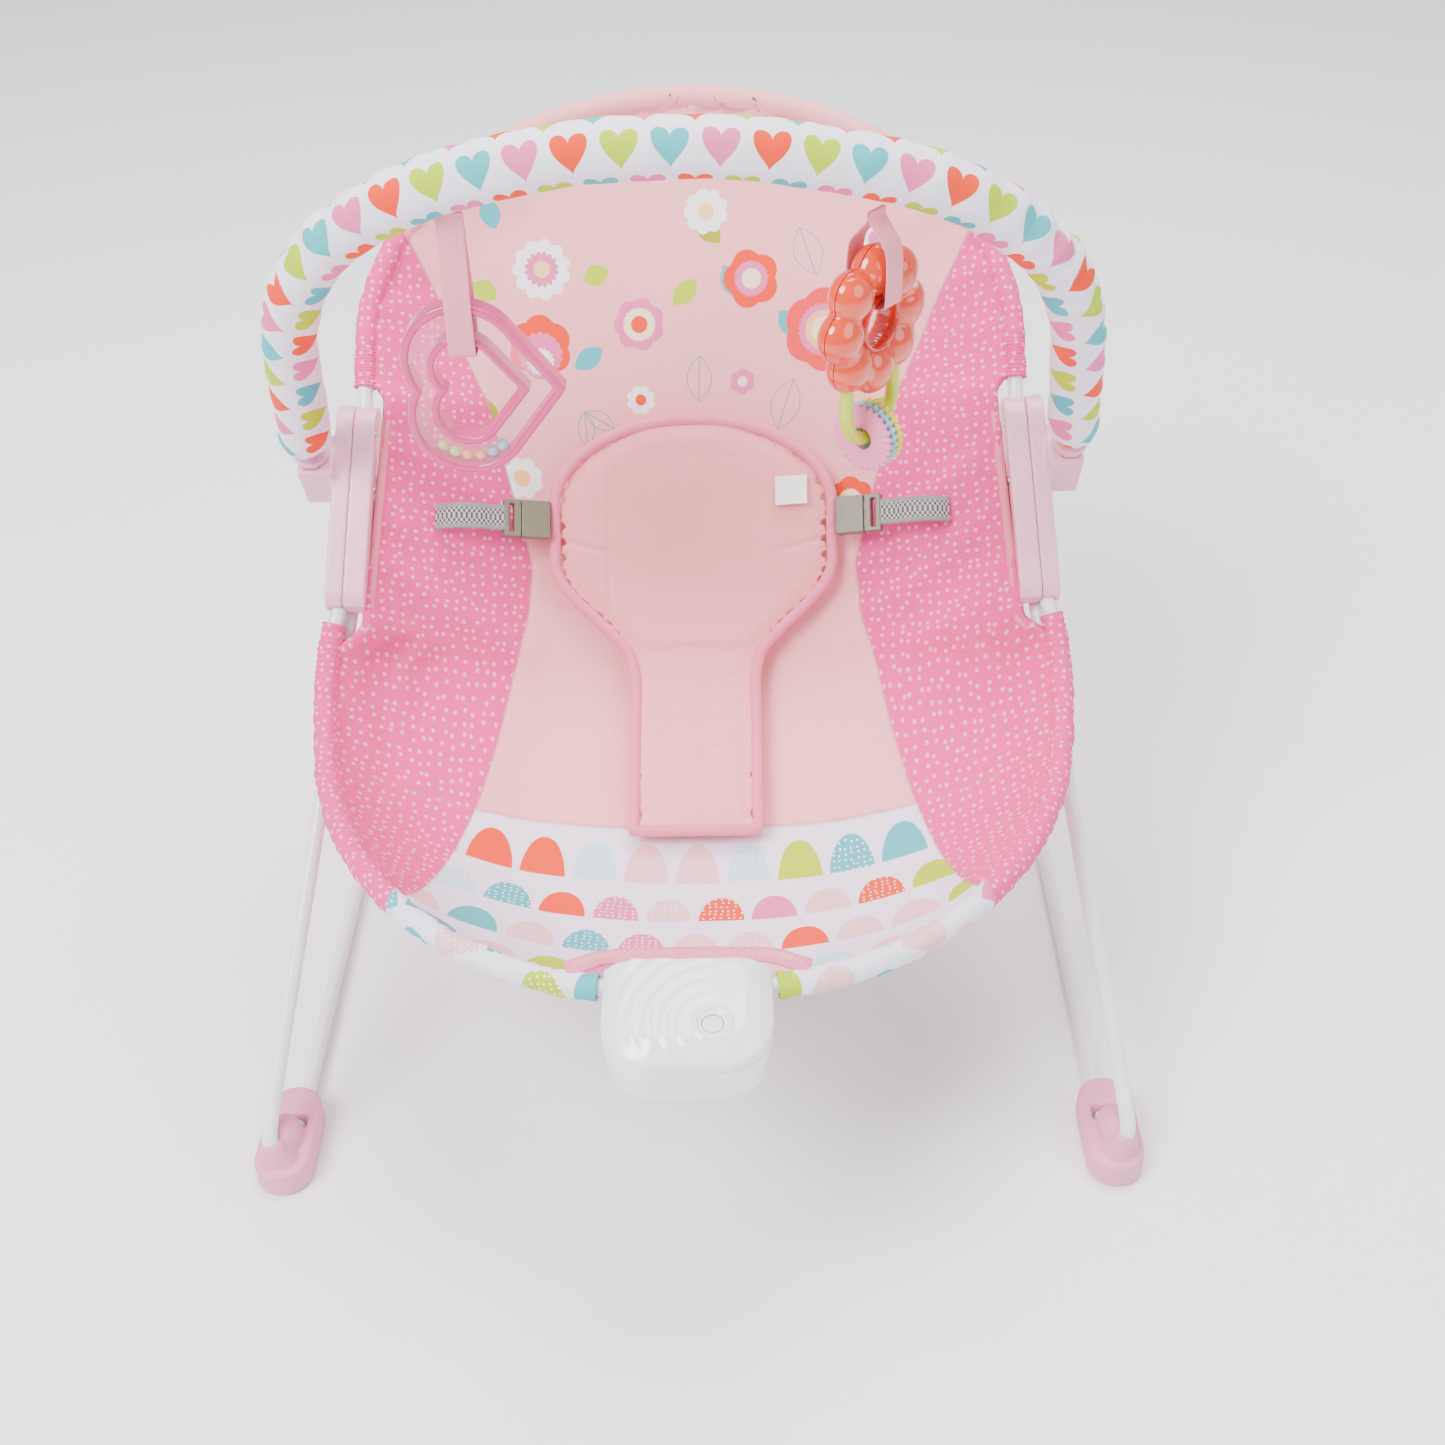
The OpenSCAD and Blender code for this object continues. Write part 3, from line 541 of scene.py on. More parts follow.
leaves = [(0.074, 0.462, 1.9, 0.030, 0.0085, tint["leaf"]), (0.060, 0.405, -1.9, 0.030, 0.0085,
    tint["leaf"]), (-0.063, 0.388, -0.5, 0.020, 0.0050, tint["leaf"]),
    (-0.063, 0.388, -1.5, 0.020, 0.0050, tint["leaf"]), (-0.112, 0.452, 2.6, 0.016, 0.0060, tint["lime"]),
    (-0.062, 0.462, 0.4, 0.016, 0.0060, tint["lime"]), (0.020, 0.470, -1.2, 0.020, 0.0055, tint["teal"]),
    (0.100, 0.375, 0.9, 0.022, 0.0060, tint["moss"]), (0.100, 0.375, 2.3, 0.020, 0.0060, tint["moss"]),
    (-0.115, 0.375, 2.0, 0.022, 0.0060, tint["moss"]), (-0.010, 0.448, 0.8, 0.020, 0.0060, tint["lime"]),
    (-0.052, 0.425, -2.5, 0.020, 0.0060, tint["teal"]), (0.052, 0.444, -0.9, 0.020, 0.0060, tint["teal"]),
    (0.018, 0.482, 2.3, 0.020, 0.0060, tint["moss"]), (0.005, 0.420, -1.6, 0.026, 0.0075, tint["leaf"]),
    (-0.112, 0.490, 1.9, 0.018, 0.0060, tint["teal"]), (0.062, 0.300, 1.0, 0.022, 0.0060, tint["leaf"]),
    (0.062, 0.300, 2.2, 0.022, 0.0060, tint["leaf"])]


def paintMiddle(tree, vector):
    # a faint check with flowers and leaves printed on it
    u, v = parts(tree, vector)[:2]
    lines = calc(tree, "MAXIMUM", calc(tree, "POWER", calc(tree, "ABSOLUTE",
        calc(tree, "SINE", mul(tree, u, 900))), 14), calc(tree, "POWER",
        calc(tree, "ABSOLUTE", calc(tree, "SINE", mul(tree, v, 900))), 14))
    color = mixColor(tree, mul(tree, lines, 0.3), tint["pale"], (0.98, 0.50, 0.53))
    for x, y, turn, length, width, shade in leaves:
        out = useGroup(tree, "leaf", vector, X=x, Y=y, Turn=turn, Length=length, Width=width)
        filled = shade in (tint["lime"], tint["moss"], tint["teal"])
        color = mixColor(tree, out["Fill" if filled else "Mask"], color, shade)
    for x, y, radius, petals, depth, shade in blooms:
        mask = useGroup(tree, "bloom", vector, X=x, Y=y, Radius=radius, Petals=petals, Depth=depth)["Mask"]
        color = mixColor(tree, mask, color, shade)
    return color


def paintCover(tree, vector):
    # the seam map holds each point's distance past the side seam and past the front seam
    side, front = parts(tree, surfaceVector(tree, "seam"))[:2]
    sideMask = softStep(tree, side, -0.0002, 0.0002)
    frontMask = softStep(tree, front, -0.0002, 0.0002)
    color = mixColor(tree, frontMask, paintMiddle(tree, vector), paintHills(tree, vector))
    color = mixColor(tree, sideMask, color, paintDots(tree, vector))
    # painted shade: the cloth is darkened towards a dark pink along the side and front seams, where the
    # seam grooves lie
    edge = calc(tree, "MINIMUM", calc(tree, "ABSOLUTE", side), calc(tree, "ABSOLUTE", front))
    crease = softStep(tree, edge, 0.0016, 0.0)
    return mixColor(tree, mul(tree, crease, 0.45), color, (0.55, 0.20, 0.28))


def plainCloth(color):
    return lambda tree, vector: mixColor(tree, 0.0, color, color)


def paintCheck(color, lineColor, scale):
    def paint(tree, vector):
        u, v = parts(tree, vector)[:2]
        a = calc(tree, "POWER", calc(tree, "ABSOLUTE", calc(tree, "SINE", mul(tree, u, scale))), 40)
        b = calc(tree, "POWER", calc(tree, "ABSOLUTE", calc(tree, "SINE", mul(tree, v, scale))), 40)
        return mixColor(tree, mul(tree, calc(tree, "MAXIMUM", a, b), 0.35), color, lineColor)
    return paint


def paintWebbing(tree, vector):
    u, v = parts(tree, vector)[:2]
    check = mul(tree, calc(tree, "SINE", mul(tree, u, 2200)), calc(tree, "SINE", mul(tree, v, 2200)))
    return mixColor(tree, softStep(tree, check, -0.15, 0.15), (0.07, 0.07, 0.07), (0.42, 0.42, 0.40))


def clearPlastic(name, color):
    mat, tree, shader = newMaterial(name, Roughness=0.05, Alpha=0.09, IOR=1.46)
    shader.inputs["Coat Weight"].default_value = 0.6
    out = useGroup(tree, "grain", surfaceVector(tree), Scale=160.0)
    shade = mixColor(tree, out["Gloss"], color, tuple(min(1, c * 1.1) for c in color))
    tree.links.new(shade, shader.inputs["Base Color"])
    addBump(tree, shader, out["Height"], 0.05, 0.0005)
    return mat


def metal(name, color, roughness=0.3):
    mat, tree, shader = newMaterial(name, Metallic=1.0)
    out = useGroup(tree, "grain", surfaceVector(tree), Scale=1500.0)
    shade = mixColor(tree, out["Gloss"], tuple(c * 0.85 for c in color), color)
    tree.links.new(shade, shader.inputs["Base Color"])
    tree.links.new(add(tree, mul(tree, out["Gloss"], 0.2), roughness - 0.1), shader.inputs["Roughness"])
    addBump(tree, shader, out["Height"], 0.15, 0.0002)
    return mat


paint = {"tube": plastic("whitePowderCoat", (0.84, 0.84, 0.85), 0.30, coat=0.35, grain=0.25, scale=1600.0),
    "boot": plastic("pinkBootRubber", (0.79, 0.28, 0.46), 0.48, grain=0.3), "hub":
    plastic("palePinkHub", (0.86, 0.42, 0.56), 0.36, coat=0.1, grain=0.15), "case":
    plastic("whiteGlossCase", (0.88, 0.88, 0.89), 0.16, coat=0.6, grain=0.04), "button":
    plastic("whiteButton", (0.86, 0.86, 0.88), 0.22, coat=0.4, grain=0.05), "rim":
    plastic("pinkTranslucentRim", (0.76, 0.035, 0.24), 0.12, coat=0.7, grain=0.04, Alpha=0.86), "window":
    clearPlastic("clearRattleWindow", (0.90, 0.55, 0.68)), "flower":
    plastic("orangeTeether", (0.78, 0.05, 0.004), 0.12, coat=0.8, grain=0.04), "eye":
    plastic("redTeetherEye", (0.66, 0.02, 0.008), 0.16, coat=0.7, grain=0.04, Subsurface_Weight=0.2),
    "lime": plastic("limeLoop", (0.55, 0.68, 0.008), 0.22, coat=0.3, grain=0.06), "pinkDisc":
    plastic("pinkPleatRubber", (0.86, 0.24, 0.44), 0.4, grain=0.2), "blueDisc":
    plastic("bluePleatRubber", (0.25, 0.62, 0.76), 0.4, grain=0.2), "yellowDisc":
    plastic("yellowPleatRubber", (0.90, 0.74, 0.06), 0.4, grain=0.2), "buckle":
    plastic("oliveBuckle", (0.16, 0.15, 0.10), 0.42, grain=0.3), "board":
    plastic("greenBoard", (0.02, 0.22, 0.08), 0.4, grain=0.3), "cell":
    plastic("cellWrap", (0.05, 0.05, 0.06), 0.25, coat=0.4), "screw":
    metal("zincScrew", (0.62, 0.62, 0.65)), "contact": metal("springSteel", (0.75, 0.74, 0.72)), "brass":
    metal("brassWeight", (0.78, 0.58, 0.25)), "cover": cloth("seatCoverCloth", paintCover), "hearts":
    cloth("heartPrintCloth", paintHearts, slow=0.04), "vest":
    cloth("vestCloth", paintCheck((0.96, 0.34, 0.37), (0.88, 0.24, 0.30), 520)), "binding":
    cloth("bindingCloth", plainCloth(tint["binding"]), threads=3200.0), "ribbon":
    cloth("satinRibbon", plainCloth((0.88, 0.30, 0.38)), threads=4000.0, bump=0.15, roughness=0.5),
    "thread": cloth("stitchThread", plainCloth((0.93, 0.48, 0.56)), mapName=None, threads=9000.0), "strap":
    cloth("checkedWebbing", paintWebbing, threads=2200.0, bump=0.6), "tag":
    cloth("blankTag", plainCloth((0.90, 0.90, 0.90)), mapName=None, threads=3500.0, roughness=0.6),}
step("materials")


# pieces that keep the CAD shape, or a moulded copy of it
riders = {"base": ["base_tube", "front_foot_left", "front_foot_right", "rear_foot_left", "rear_foot_right"],
    "button": ["power_button"], "door": ["battery_door", "door_screw"], "weight": ["motor_weight"],
    "plug_left": ["buckle_plug_left"], "plug_right": ["buckle_plug_right"], "toy_bar":
    ["toy_bar_tube", "toy_bar_sleeve", "toy_bar_plug_left", "toy_bar_plug_right"], "heart":
    ["heart_ribbon", "heart_outer_rim", "heart_inner_rim", "heart_window_front", "heart_window_back"],
    "beads": ["heart_beads"], "flower": ["flower_ribbon", "flower_front", "flower_back", "loop_handle"],
    "pink": ["pink_disc"], "blue": ["blue_disc"], "yellow": ["yellow_disc"]}


def bodyName(nodeName):
    for name, items in riders.items():
        if nodeName in items:
            return name
    return "seat"


def paintNode(nodeName, mat, bevel=0.0):
    obj = nodes[nodeName]
    if not obj.data.materials:
        obj.data.materials.append(mat)
    for i in range(len(obj.data.materials)):
        obj.data.materials[i] = mat
    if bevel:
        weld = obj.modifiers.new("weld", "WELD")
        weld.merge_threshold = 0.00001
        edge = obj.modifiers.new("edge", "BEVEL")
        edge.width = bevel * mm
        edge.segments = 2
        edge.limit_method = "ANGLE"
        edge.angle_limit = math.radians(40)


def roundTube(nodeName, name):
    obj = nodeCopy(nodeName, name)
    soft = obj.modifiers.new("soft", "SUBSURF")
    soft.levels = soft.render_levels = 1
    applyAll(obj)
    smoothShade(obj, 60)
    return dress(obj, paint["tube"], bodyName(nodeName), [nodeName])


for tubeNode, tubeName in (("base_tube", "baseRail"), ("leg_tube_left", "leftLeg"),
        ("leg_tube_right", "rightLeg"), ("seat_tube", "seatHoop"), ("back_tube", "backHoop")):
    roundTube(tubeNode, tubeName)

mouldedPieces = [
    # node, piece, material, slot, voxel, smoothing rounds
    ("rear_foot_left", "leftRearFoot", "boot", "foot_rubber", 0.8, 8),
    ("rear_foot_right", "rightRearFoot", "boot", "foot_rubber", 0.8, 8),
    ("hub_outer_left", "leftHubOuter", "hub", "hub_plastic", 0.8, 8),
    ("hub_outer_right", "rightHubOuter", "hub", "hub_plastic", 0.8, 8),
    ("hub_inner_left", "leftHubInner", "hub", "hub_plastic", 0.8, 8),
    ("hub_inner_right", "rightHubInner", "hub", "hub_plastic", 0.8, 8),
    ("buckle_socket_left", "leftBuckleSocket", "buckle", "buckle_plastic", 0.45, 5),
    ("buckle_socket_right", "rightBuckleSocket", "buckle", "buckle_plastic", 0.45, 5),
    ("buckle_plug_left", "leftBucklePlug", "buckle", "buckle_plastic", 0.45, 5),
    ("buckle_plug_right", "rightBucklePlug", "buckle", "buckle_plastic", 0.45, 5),
    ("toy_bar_plug_left", "leftBarPlug", "hub", "hub_plastic", 0.6, 5),
    ("toy_bar_plug_right", "rightBarPlug", "hub", "hub_plastic", 0.6, 5),
    ("heart_outer_rim", "heartOuterRim", "rim", "pink_plastic", 0.55, 22),
    ("heart_inner_rim", "heartInnerRim", "rim", "pink_plastic", 0.55, 22),
    ("loop_handle", "limeHandle", "lime", "lime_plastic", 0.5, 6)]
for nodeName, name, matName, slotName, voxel, rounds in mouldedPieces:
    dress(moulded(nodeName, name, voxel, rounds), paint[matName], bodyName(nodeName), [nodeName])

boots = {"bendY": -192, "bendZ": 20.5, "bendR": 14, "railX": 226, "legX": 234, "sockR": 8.0, "coreX": 229.5,
    "coreZ": 17.5, "coreHalf": (9.5, 14.5, 12.5)}


def makeBoot(nodeName, name, s):
    # a rubber boot moulded over the sprung bend
    base = nodeCopy(nodeName, name)
    path = []
    for i in range(24):
        a = math.radians(282 - (282 - 150) * i / 23)
        x = boots["railX"] + (boots["legX"] - boots["railX"]) * (270 - math.degrees(a)) / 138
        path.append(Vector((s * x, boots["bendY"] + boots["bendR"] * math.cos(a), boots["bendZ"] +
            boots["bendR"] * math.sin(a))) * mm)

    def sock(t, a):
        r = boots["sockR"] * mm * (1 - 0.25 * ease((t / mm - 18) / 14))
        return r * math.cos(a) * 1.32, r * math.sin(a)
    pickNone()
    bpy.ops.mesh.primitive_uv_sphere_add(segments=32, ring_count=20, radius=1,
        location=Vector((s * boots["coreX"], boots["bendY"], boots["coreZ"])) * mm)
    core = bpy.context.active_object
    core.scale = Vector(boots["coreHalf"]) * mm
    settle(core)
    obj = joined(name, [base, sweep("sock", path, sock, 20, start=(1, 0, 0), maps=False), core])
    skin = obj.modifiers.new("skin", "REMESH")
    skin.mode = "VOXEL"
    skin.voxel_size = 0.9 * mm
    soften = obj.modifiers.new("soft", "SMOOTH")
    soften.iterations = 22
    applyAll(obj)
    for v in obj.data.vertices:
        v.co.z = max(v.co.z, 0)
    smoothShade(obj)
    return dress(obj, paint["boot"], "base", [nodeName])


makeBoot("front_foot_left", "leftBoot", -1)
makeBoot("front_foot_right", "rightBoot", 1)
paintNode("toy_bar_tube", paint["tube"])
for nodeName in ("hub_screws", "unit_screws", "door_screw", "vibration_motor"):
    paintNode(nodeName, paint["screw"], 0.3)
paintNode("motor_weight", paint["brass"], 0.3)
paintNode("battery_contacts", paint["contact"], 0.15)
paintNode("battery_cell", paint["cell"], 0.4)
paintNode("circuit_board", paint["board"], 0.15)
paintNode("unit_clamp", paint["case"], 0.5)
paintNode("battery_door", paint["case"], 0.5)
step("frame pieces")

# the vibration unit's covers and button
unitShape = {"split": 181, "top": 198, "front": -290, "back": -234, "half": 40, "corner": 26, "drop": 8.0,
    "slope": 5.0, "ripple": 0.42, "rippleStep": 7.5, "button": (12, -272), "buttonR": 5, "buttonH": 2.9,
    "buttonZ": 192.85}


def shapeUnitTop():
    obj = moulded("unit_top_cover", "unitTop", 0.6, 10)
    u = unitShape
    for v in obj.data.vertices:
        x, y, z = v.co / mm
        rise = max(0.0, (z - u["split"]) / (u["top"] - u["split"]))
        cx = max(abs(x) - (u["half"] - u["corner"]), 0)
        cy = max((u["front"] + u["corner"]) - y, 0)
        inFromEdge = u["corner"] - math.hypot(cx, cy)
        edge = max(0.0, 1 - inFromEdge / 17) ** 2 * u["drop"] * rise
        edge += max(0.0, (u["back"] - 6 - y) / 50) * u["slope"] * rise
        lift = 0.0
        if z > u["top"] - 3:  # ripples spread from the button
            away = math.hypot(x - u["button"][0], y - u["button"][1])
            ring = math.exp(-((away - 8.2) / 1.0) ** 2) * 0.8 - math.exp(-((away - 6.3) / 0.9) ** 2) * 0.5
            fade = min(1, max(0, (away - 11) / 5)) * min(1, max(0, (inFromEdge - 3) / 6)) * min(1,
                max(0, (14 - x) / 18))
            lift = ring + u["ripple"] * math.cos(2 * math.pi * away / u["rippleStep"]) * fade
        v.co.z = (z - edge + lift) * mm
    return dress(obj, paint["case"], "seat", ["unit_top_cover"])


def shapeButton():
    x, y = unitShape["button"]
    pickNone()
    bpy.ops.mesh.primitive_cylinder_add(vertices=40, radius=unitShape["buttonR"] * mm,
        depth=unitShape["buttonH"] * mm, location=(x * mm, y * mm, unitShape["buttonZ"] * mm))
    obj = bpy.context.active_object
    obj.name = "roundButton"
    bpy.ops.object.mode_set(mode="EDIT")
    bpy.ops.mesh.select_all(action="SELECT")
    bpy.ops.mesh.bevel(offset=1.3 * mm, segments=4, affect="EDGES", offset_type="OFFSET",
        clamp_overlap=True)
    bpy.ops.object.mode_set(mode="OBJECT")
    settle(obj)
    for v in obj.data.vertices:
        away = math.hypot(v.co.x / mm - x, v.co.y / mm - y)
        if v.co.z > 0.1935:
            v.co.z -= max(0.0, 1 - away / 4) * 0.5 * mm
    facesOut(obj)
    smoothShade(obj, 40)
    return dress(obj, paint["button"], "button", ["power_button"])


def shapeUnitBottom():
    # the lower cover draws in towards its underside
    obj = moulded("unit_bottom_cover", "unitBottom", 0.7, 12)
    for v in obj.data.vertices:
        under = ease((178 - v.co.z / mm) / 20)
        v.co.y += under * max(0.0, (-240 - v.co.y / mm) / 50) * 3.5 * mm
        v.co.x *= 1 - 0.05 * under
    return dress(obj, paint["case"], "seat", ["unit_bottom_cover"])


shapeUnitTop()
shapeUnitBottom()
shapeButton()
step("vibration unit")

# the cover follows the CAD's side profile; q is length along it in mm
seat = {"rail": 185, "frontY": -242, "frontRun": 20, "arcR": 110, "arcQ": 155, "lean": math.radians(47),
    "hipQ": 225, "hipHalf": 207, "waistQ": 335, "backHalf": 186, "crownQ": 418, "topQ": 564, "sag": 70,
    "casingR": 6.3, "frontSeam": 180, "coverT": 4.5, "folds": 8.0}
backQ = seat["arcQ"] + seat["arcR"] * seat["lean"]
backY = seat["frontY"] + seat["arcQ"] + seat["arcR"] * math.sin(seat["lean"])
backZ = seat["rail"] + seat["arcR"] * (1 - math.cos(seat["lean"]))
sideSeam = [(0, 190), (57, 150), (161, 130), (270, 98), (300, 95), (390, 119), (440, 140), (478, 160),
    (564, 210)]


def slopeAt(q):
    return min(max((q - seat["arcQ"]) / seat["arcR"], 0), seat["lean"])


def profileAt(q):
    # height and depth of the hoop's side profile at the length q along it
    if q < seat["arcQ"]:
        return seat["frontY"] + q, seat["rail"]
    if q < backQ:
        a = slopeAt(q)
        return seat["frontY"] + seat["arcQ"] + seat["arcR"] * math.sin(a), seat["rail"] + seat["arcR"] * (1
            - math.cos(a))
    return backY + (q - backQ) * math.cos(seat["lean"]), backZ + (q - backQ) * math.sin(seat["lean"])


def lengthAt(y, z):
    # the other way round: the length along the profile of a point near it
    if y < seat["frontY"] + seat["arcQ"]:
        return y - seat["frontY"]
    a = math.atan2(y - (seat["frontY"] + seat["arcQ"]), seat["rail"] + seat["arcR"] - z)
    if a < seat["lean"]:
        return seat["arcQ"] + seat["arcR"] * a
    return backQ + (y - backY) * math.cos(seat["lean"]) + (z - backZ) * math.sin(seat["lean"])


def hoopHalf(q):
    if q < seat["hipQ"]:
        return seat["frontRun"] + (seat["hipHalf"] - seat["frontRun"]) * math.sqrt(max(0, 1 -
            (1 - q / seat["hipQ"]) ** 2))
    if q < seat["waistQ"]:
        turn = math.pi * (q - seat["hipQ"]) / (seat["waistQ"] - seat["hipQ"])
        return (seat["hipHalf"] + seat["backHalf"]) / 2 + (seat["hipHalf"] -
            seat["backHalf"]) / 2 * math.cos(turn)
    if q < seat["crownQ"]:
        return seat["backHalf"]
    return seat["backHalf"] * math.sqrt(max(0, 1 - ((q - seat["crownQ"]) / (seat["topQ"] - seat["crownQ"]))
        ** 2))


def sagAt(q):
    t = max(0.0, min(1.0, q / seat["topQ"]))
    return seat["sag"] * max(0.0, math.sin(math.pi * t ** 0.62)) ** 1.3


def lerpTable(table, at):
    for (a, b), (c, d) in zip(table, table[1:]):
        if at <= c:
            return b + (d - b) * (at - a) / (c - a)
    return table[-1][1]


def coverPoint(q, x, half, depth):
    # a point of the slung cover, depth below its top face, in metres
    y, z = profileAt(q)
    a = slopeAt(q)
    down = depth + sagAt(q) * (1 - min(1, abs(x) / half) ** 2.5)
    return Vector((x, y + down * math.sin(a), z - down * math.cos(a))) * mm


def tuckAt(q):
    # how far the cover draws in to clear a hub's inner face
    spare = hoopHalf(q) - 2.5 - 179 - (323 - q) * 0.087
    return ease((q - 240) / 16) * ease((400 - q) / 12) * max(0, spare)


def clothRun(obj, frames, cap, pressure=0.0, pins=None, grow=0.0, gravity=0.0, stiff=12.0):
    # a short run of Cloth, with each point's motion capped in millimetres
    before = [v.co.copy() for v in obj.data.vertices]
    pickOnly(obj)
    mod = obj.modifiers.new("cloth", "CLOTH")
    mod.settings.quality = 5
    mod.settings.mass = 0.25
    mod.settings.tension_stiffness = stiff
    mod.settings.compression_stiffness = stiff
    mod.settings.bending_stiffness = 0.4
    mod.settings.effector_weights.gravity = gravity
    mod.collision_settings.use_collision = False
    if pressure:
        mod.settings.use_pressure = True
        mod.settings.uniform_pressure_force = pressure
    if pins:
        mod.settings.vertex_group_mass = pins
    if grow:
        mod.settings.shrink_min = -grow
    for f in range(1, frames + 1):
        bpy.context.scene.frame_set(f)
    bpy.ops.object.modifier_apply(modifier="cloth")
    bpy.context.scene.frame_set(1)
    for v, old in zip(obj.data.vertices, before):
        move = v.co - old
        if move.length > cap * mm:
            v.co = old + move * (cap * mm / move.length)


def coverRows():
    rows = []
    inner = seat["hipHalf"] - 2.5 - seat["frontRun"]
    for i in range(30):
        a = math.radians(8 + 82 * i / 29)
        q = 4 + (seat["hipQ"] - 4) * (1 - math.cos(a))
        rows.append((q, seat["frontRun"] + inner * math.sin(a)))
    q = seat["hipQ"] + 6
    while q < seat["crownQ"] - 3:
        rows.append((q, hoopHalf(q) - 2.5 - tuckAt(q)))
        q += 6
    for i in range(34):
        a = math.radians(88.5 * i / 33)
        rows.append((seat["crownQ"] + (seat["topQ"] - 2.5 - seat["crownQ"]) * math.sin(a),
            (seat["backHalf"] - 2.5) * math.cos(a)))
    return rows


coverRowList = coverRows()


def rowHalf(q):
    return lerpTable(coverRowList, q)


def makeCover():
    columns = 84
    verts, pairs, seams, pinned = [], [], [], []
    for r, (q, half) in enumerate(coverRowList):
        for c in range(columns + 1):
            t = 2 * c / columns - 1
            x = t * half
            fromSide = half - abs(x)
            fromEnd = min(q * 1.0, (seat["topQ"] - q) * 1.0)
            near = ease(1 - min(fromSide, fromEnd) / 30)
            hub = ease(1 - abs(q - 323) / 75)
            depth = -3.0 * near * (1 - hub)
            frontLift = ease(1 - q / 55) * sagAt(q) * (1 - abs(t) ** 2.5) * 0.75
            verts.append(coverPoint(q, x, half, depth - frontLift))
            pairs.append((x * mm, q * mm))
            seams.append(((abs(x) - lerpTable(sideSeam, q)) * mm, (seat["frontSeam"] - q) * mm))
            if c in (0, columns) or r in (0, len(coverRowList) - 1):
                pinned.append(len(verts) - 1)
    w = columns + 1
    faces = [(r * w + c, r * w + c + 1, r * w + w + c + 1, r * w + w + c) for r in
        range(len(coverRowList) - 1) for c in range(columns)]
    obj = meshPiece("seatCover", verts, faces, {"cloth": pairs, "seam": seams})
    group = obj.vertex_groups.new(name="held")
    group.add(pinned, 1.0, "REPLACE")
    for v in obj.data.vertices:
        v.co.z += noise.noise(v.co * 22) * 1.2 * mm
    clothRun(obj, 16, seat["folds"], pins="held", grow=0.022, gravity=0.15)
    fine = obj.modifiers.new("fine", "SUBSURF")
    fine.levels = fine.render_levels = 1
    applyAll(obj)
    cloth2 = obj.data.uv_layers["cloth"].data
    seamUv = obj.data.uv_layers["seam"].data
    spot = {}
    for loop in obj.data.loops:
        spot[loop.vertex_index] = (*cloth2[loop.index].uv, *seamUv[loop.index].uv)
    for v in obj.data.vertices:
        x, q, side, front = (k / mm for k in spot[v.index])
        groove = math.exp(-(side / 1.8) ** 2) + (math.exp(-(front / 1.8) ** 2) if side < 0 else 0)
        pucker = math.sin(q / 1.7 + 1.3 * math.sin(q / 11)) * math.exp(-(abs(side) / 7) ** 2) * 0.28
        pucker += math.sin(x / 1.7 + math.sin(x / 9)) * math.exp(-(abs(front) / 7) ** 2) * 0.28 * (side < 0)
        fromSide = rowHalf(q) - abs(x)
        rim = math.exp(-(max(fromSide, 0) / 10) ** 2)
        fold = math.sin(q / 2.6 + 2 * math.sin(q / 17)) * rim * 0.55
        topEdge = ease((q - 505) / 30)
        fold += math.sin(x / 3.1 + 1.7 * math.sin(x / 19)) * topEdge * 0.9
        slow = noise.noise(Vector((x / 34, q / 46, 0.4))) * 1.1
        a = slopeAt(q)
        away = slow + pucker + fold - 1.1 * min(groove, 1)
        v.co += Vector((0, -math.sin(a), math.cos(a))) * away * mm
    solid = obj.modifiers.new("thick", "SOLIDIFY")
    solid.thickness = seat["coverT"] * mm
    solid.offset = -1
    applyAll(obj)
    smoothShade(obj)
    dress(obj, paint["cover"], "seat", ["seat_pad"])
    return obj


def hoopPoint(q, s):
    # a point of the tube's centre line on the side s, and the outward direction in the cover's own plane
    e = 0.4
    lo, hi = max(q - e, 0.0), min(q + e, seat["topQ"])
    dx, dq = hoopHalf(hi) - hoopHalf(lo), hi - lo
    size = math.hypot(dx, dq)
    y, z = profileAt(q)
    return Vector((s * hoopHalf(q), y, z)), (s * dq / size, -dx / size)


def casingStops(kind):
    stops = []
    if kind == "back":
        for i in range(-40, 161):
            a = math.radians(90 * min(max(i, 0), 120) / 60)
            if i < 0:
                stops.append((394 + (seat["crownQ"] - 394) * (i + 40) / 40, 1, None))
            elif i <= 120:
                stops.append((seat["crownQ"] + (seat["topQ"] - seat["crownQ"]) * math.sin(a), 1 if i <= 60
                    else -1, a))
            else:
                stops.append((seat["crownQ"] - (seat["crownQ"] - 394) * (i - 120) / 40, -1, None))
    else:
        for i in range(120):
            a = math.radians(6.9 + 83.1 * i / 119)
            stops.append((seat["hipQ"] * (1 - math.cos(a)), kind, a))
        stops += [(seat["hipQ"] + i, kind, None) for i in range(1, 33)]
    return stops


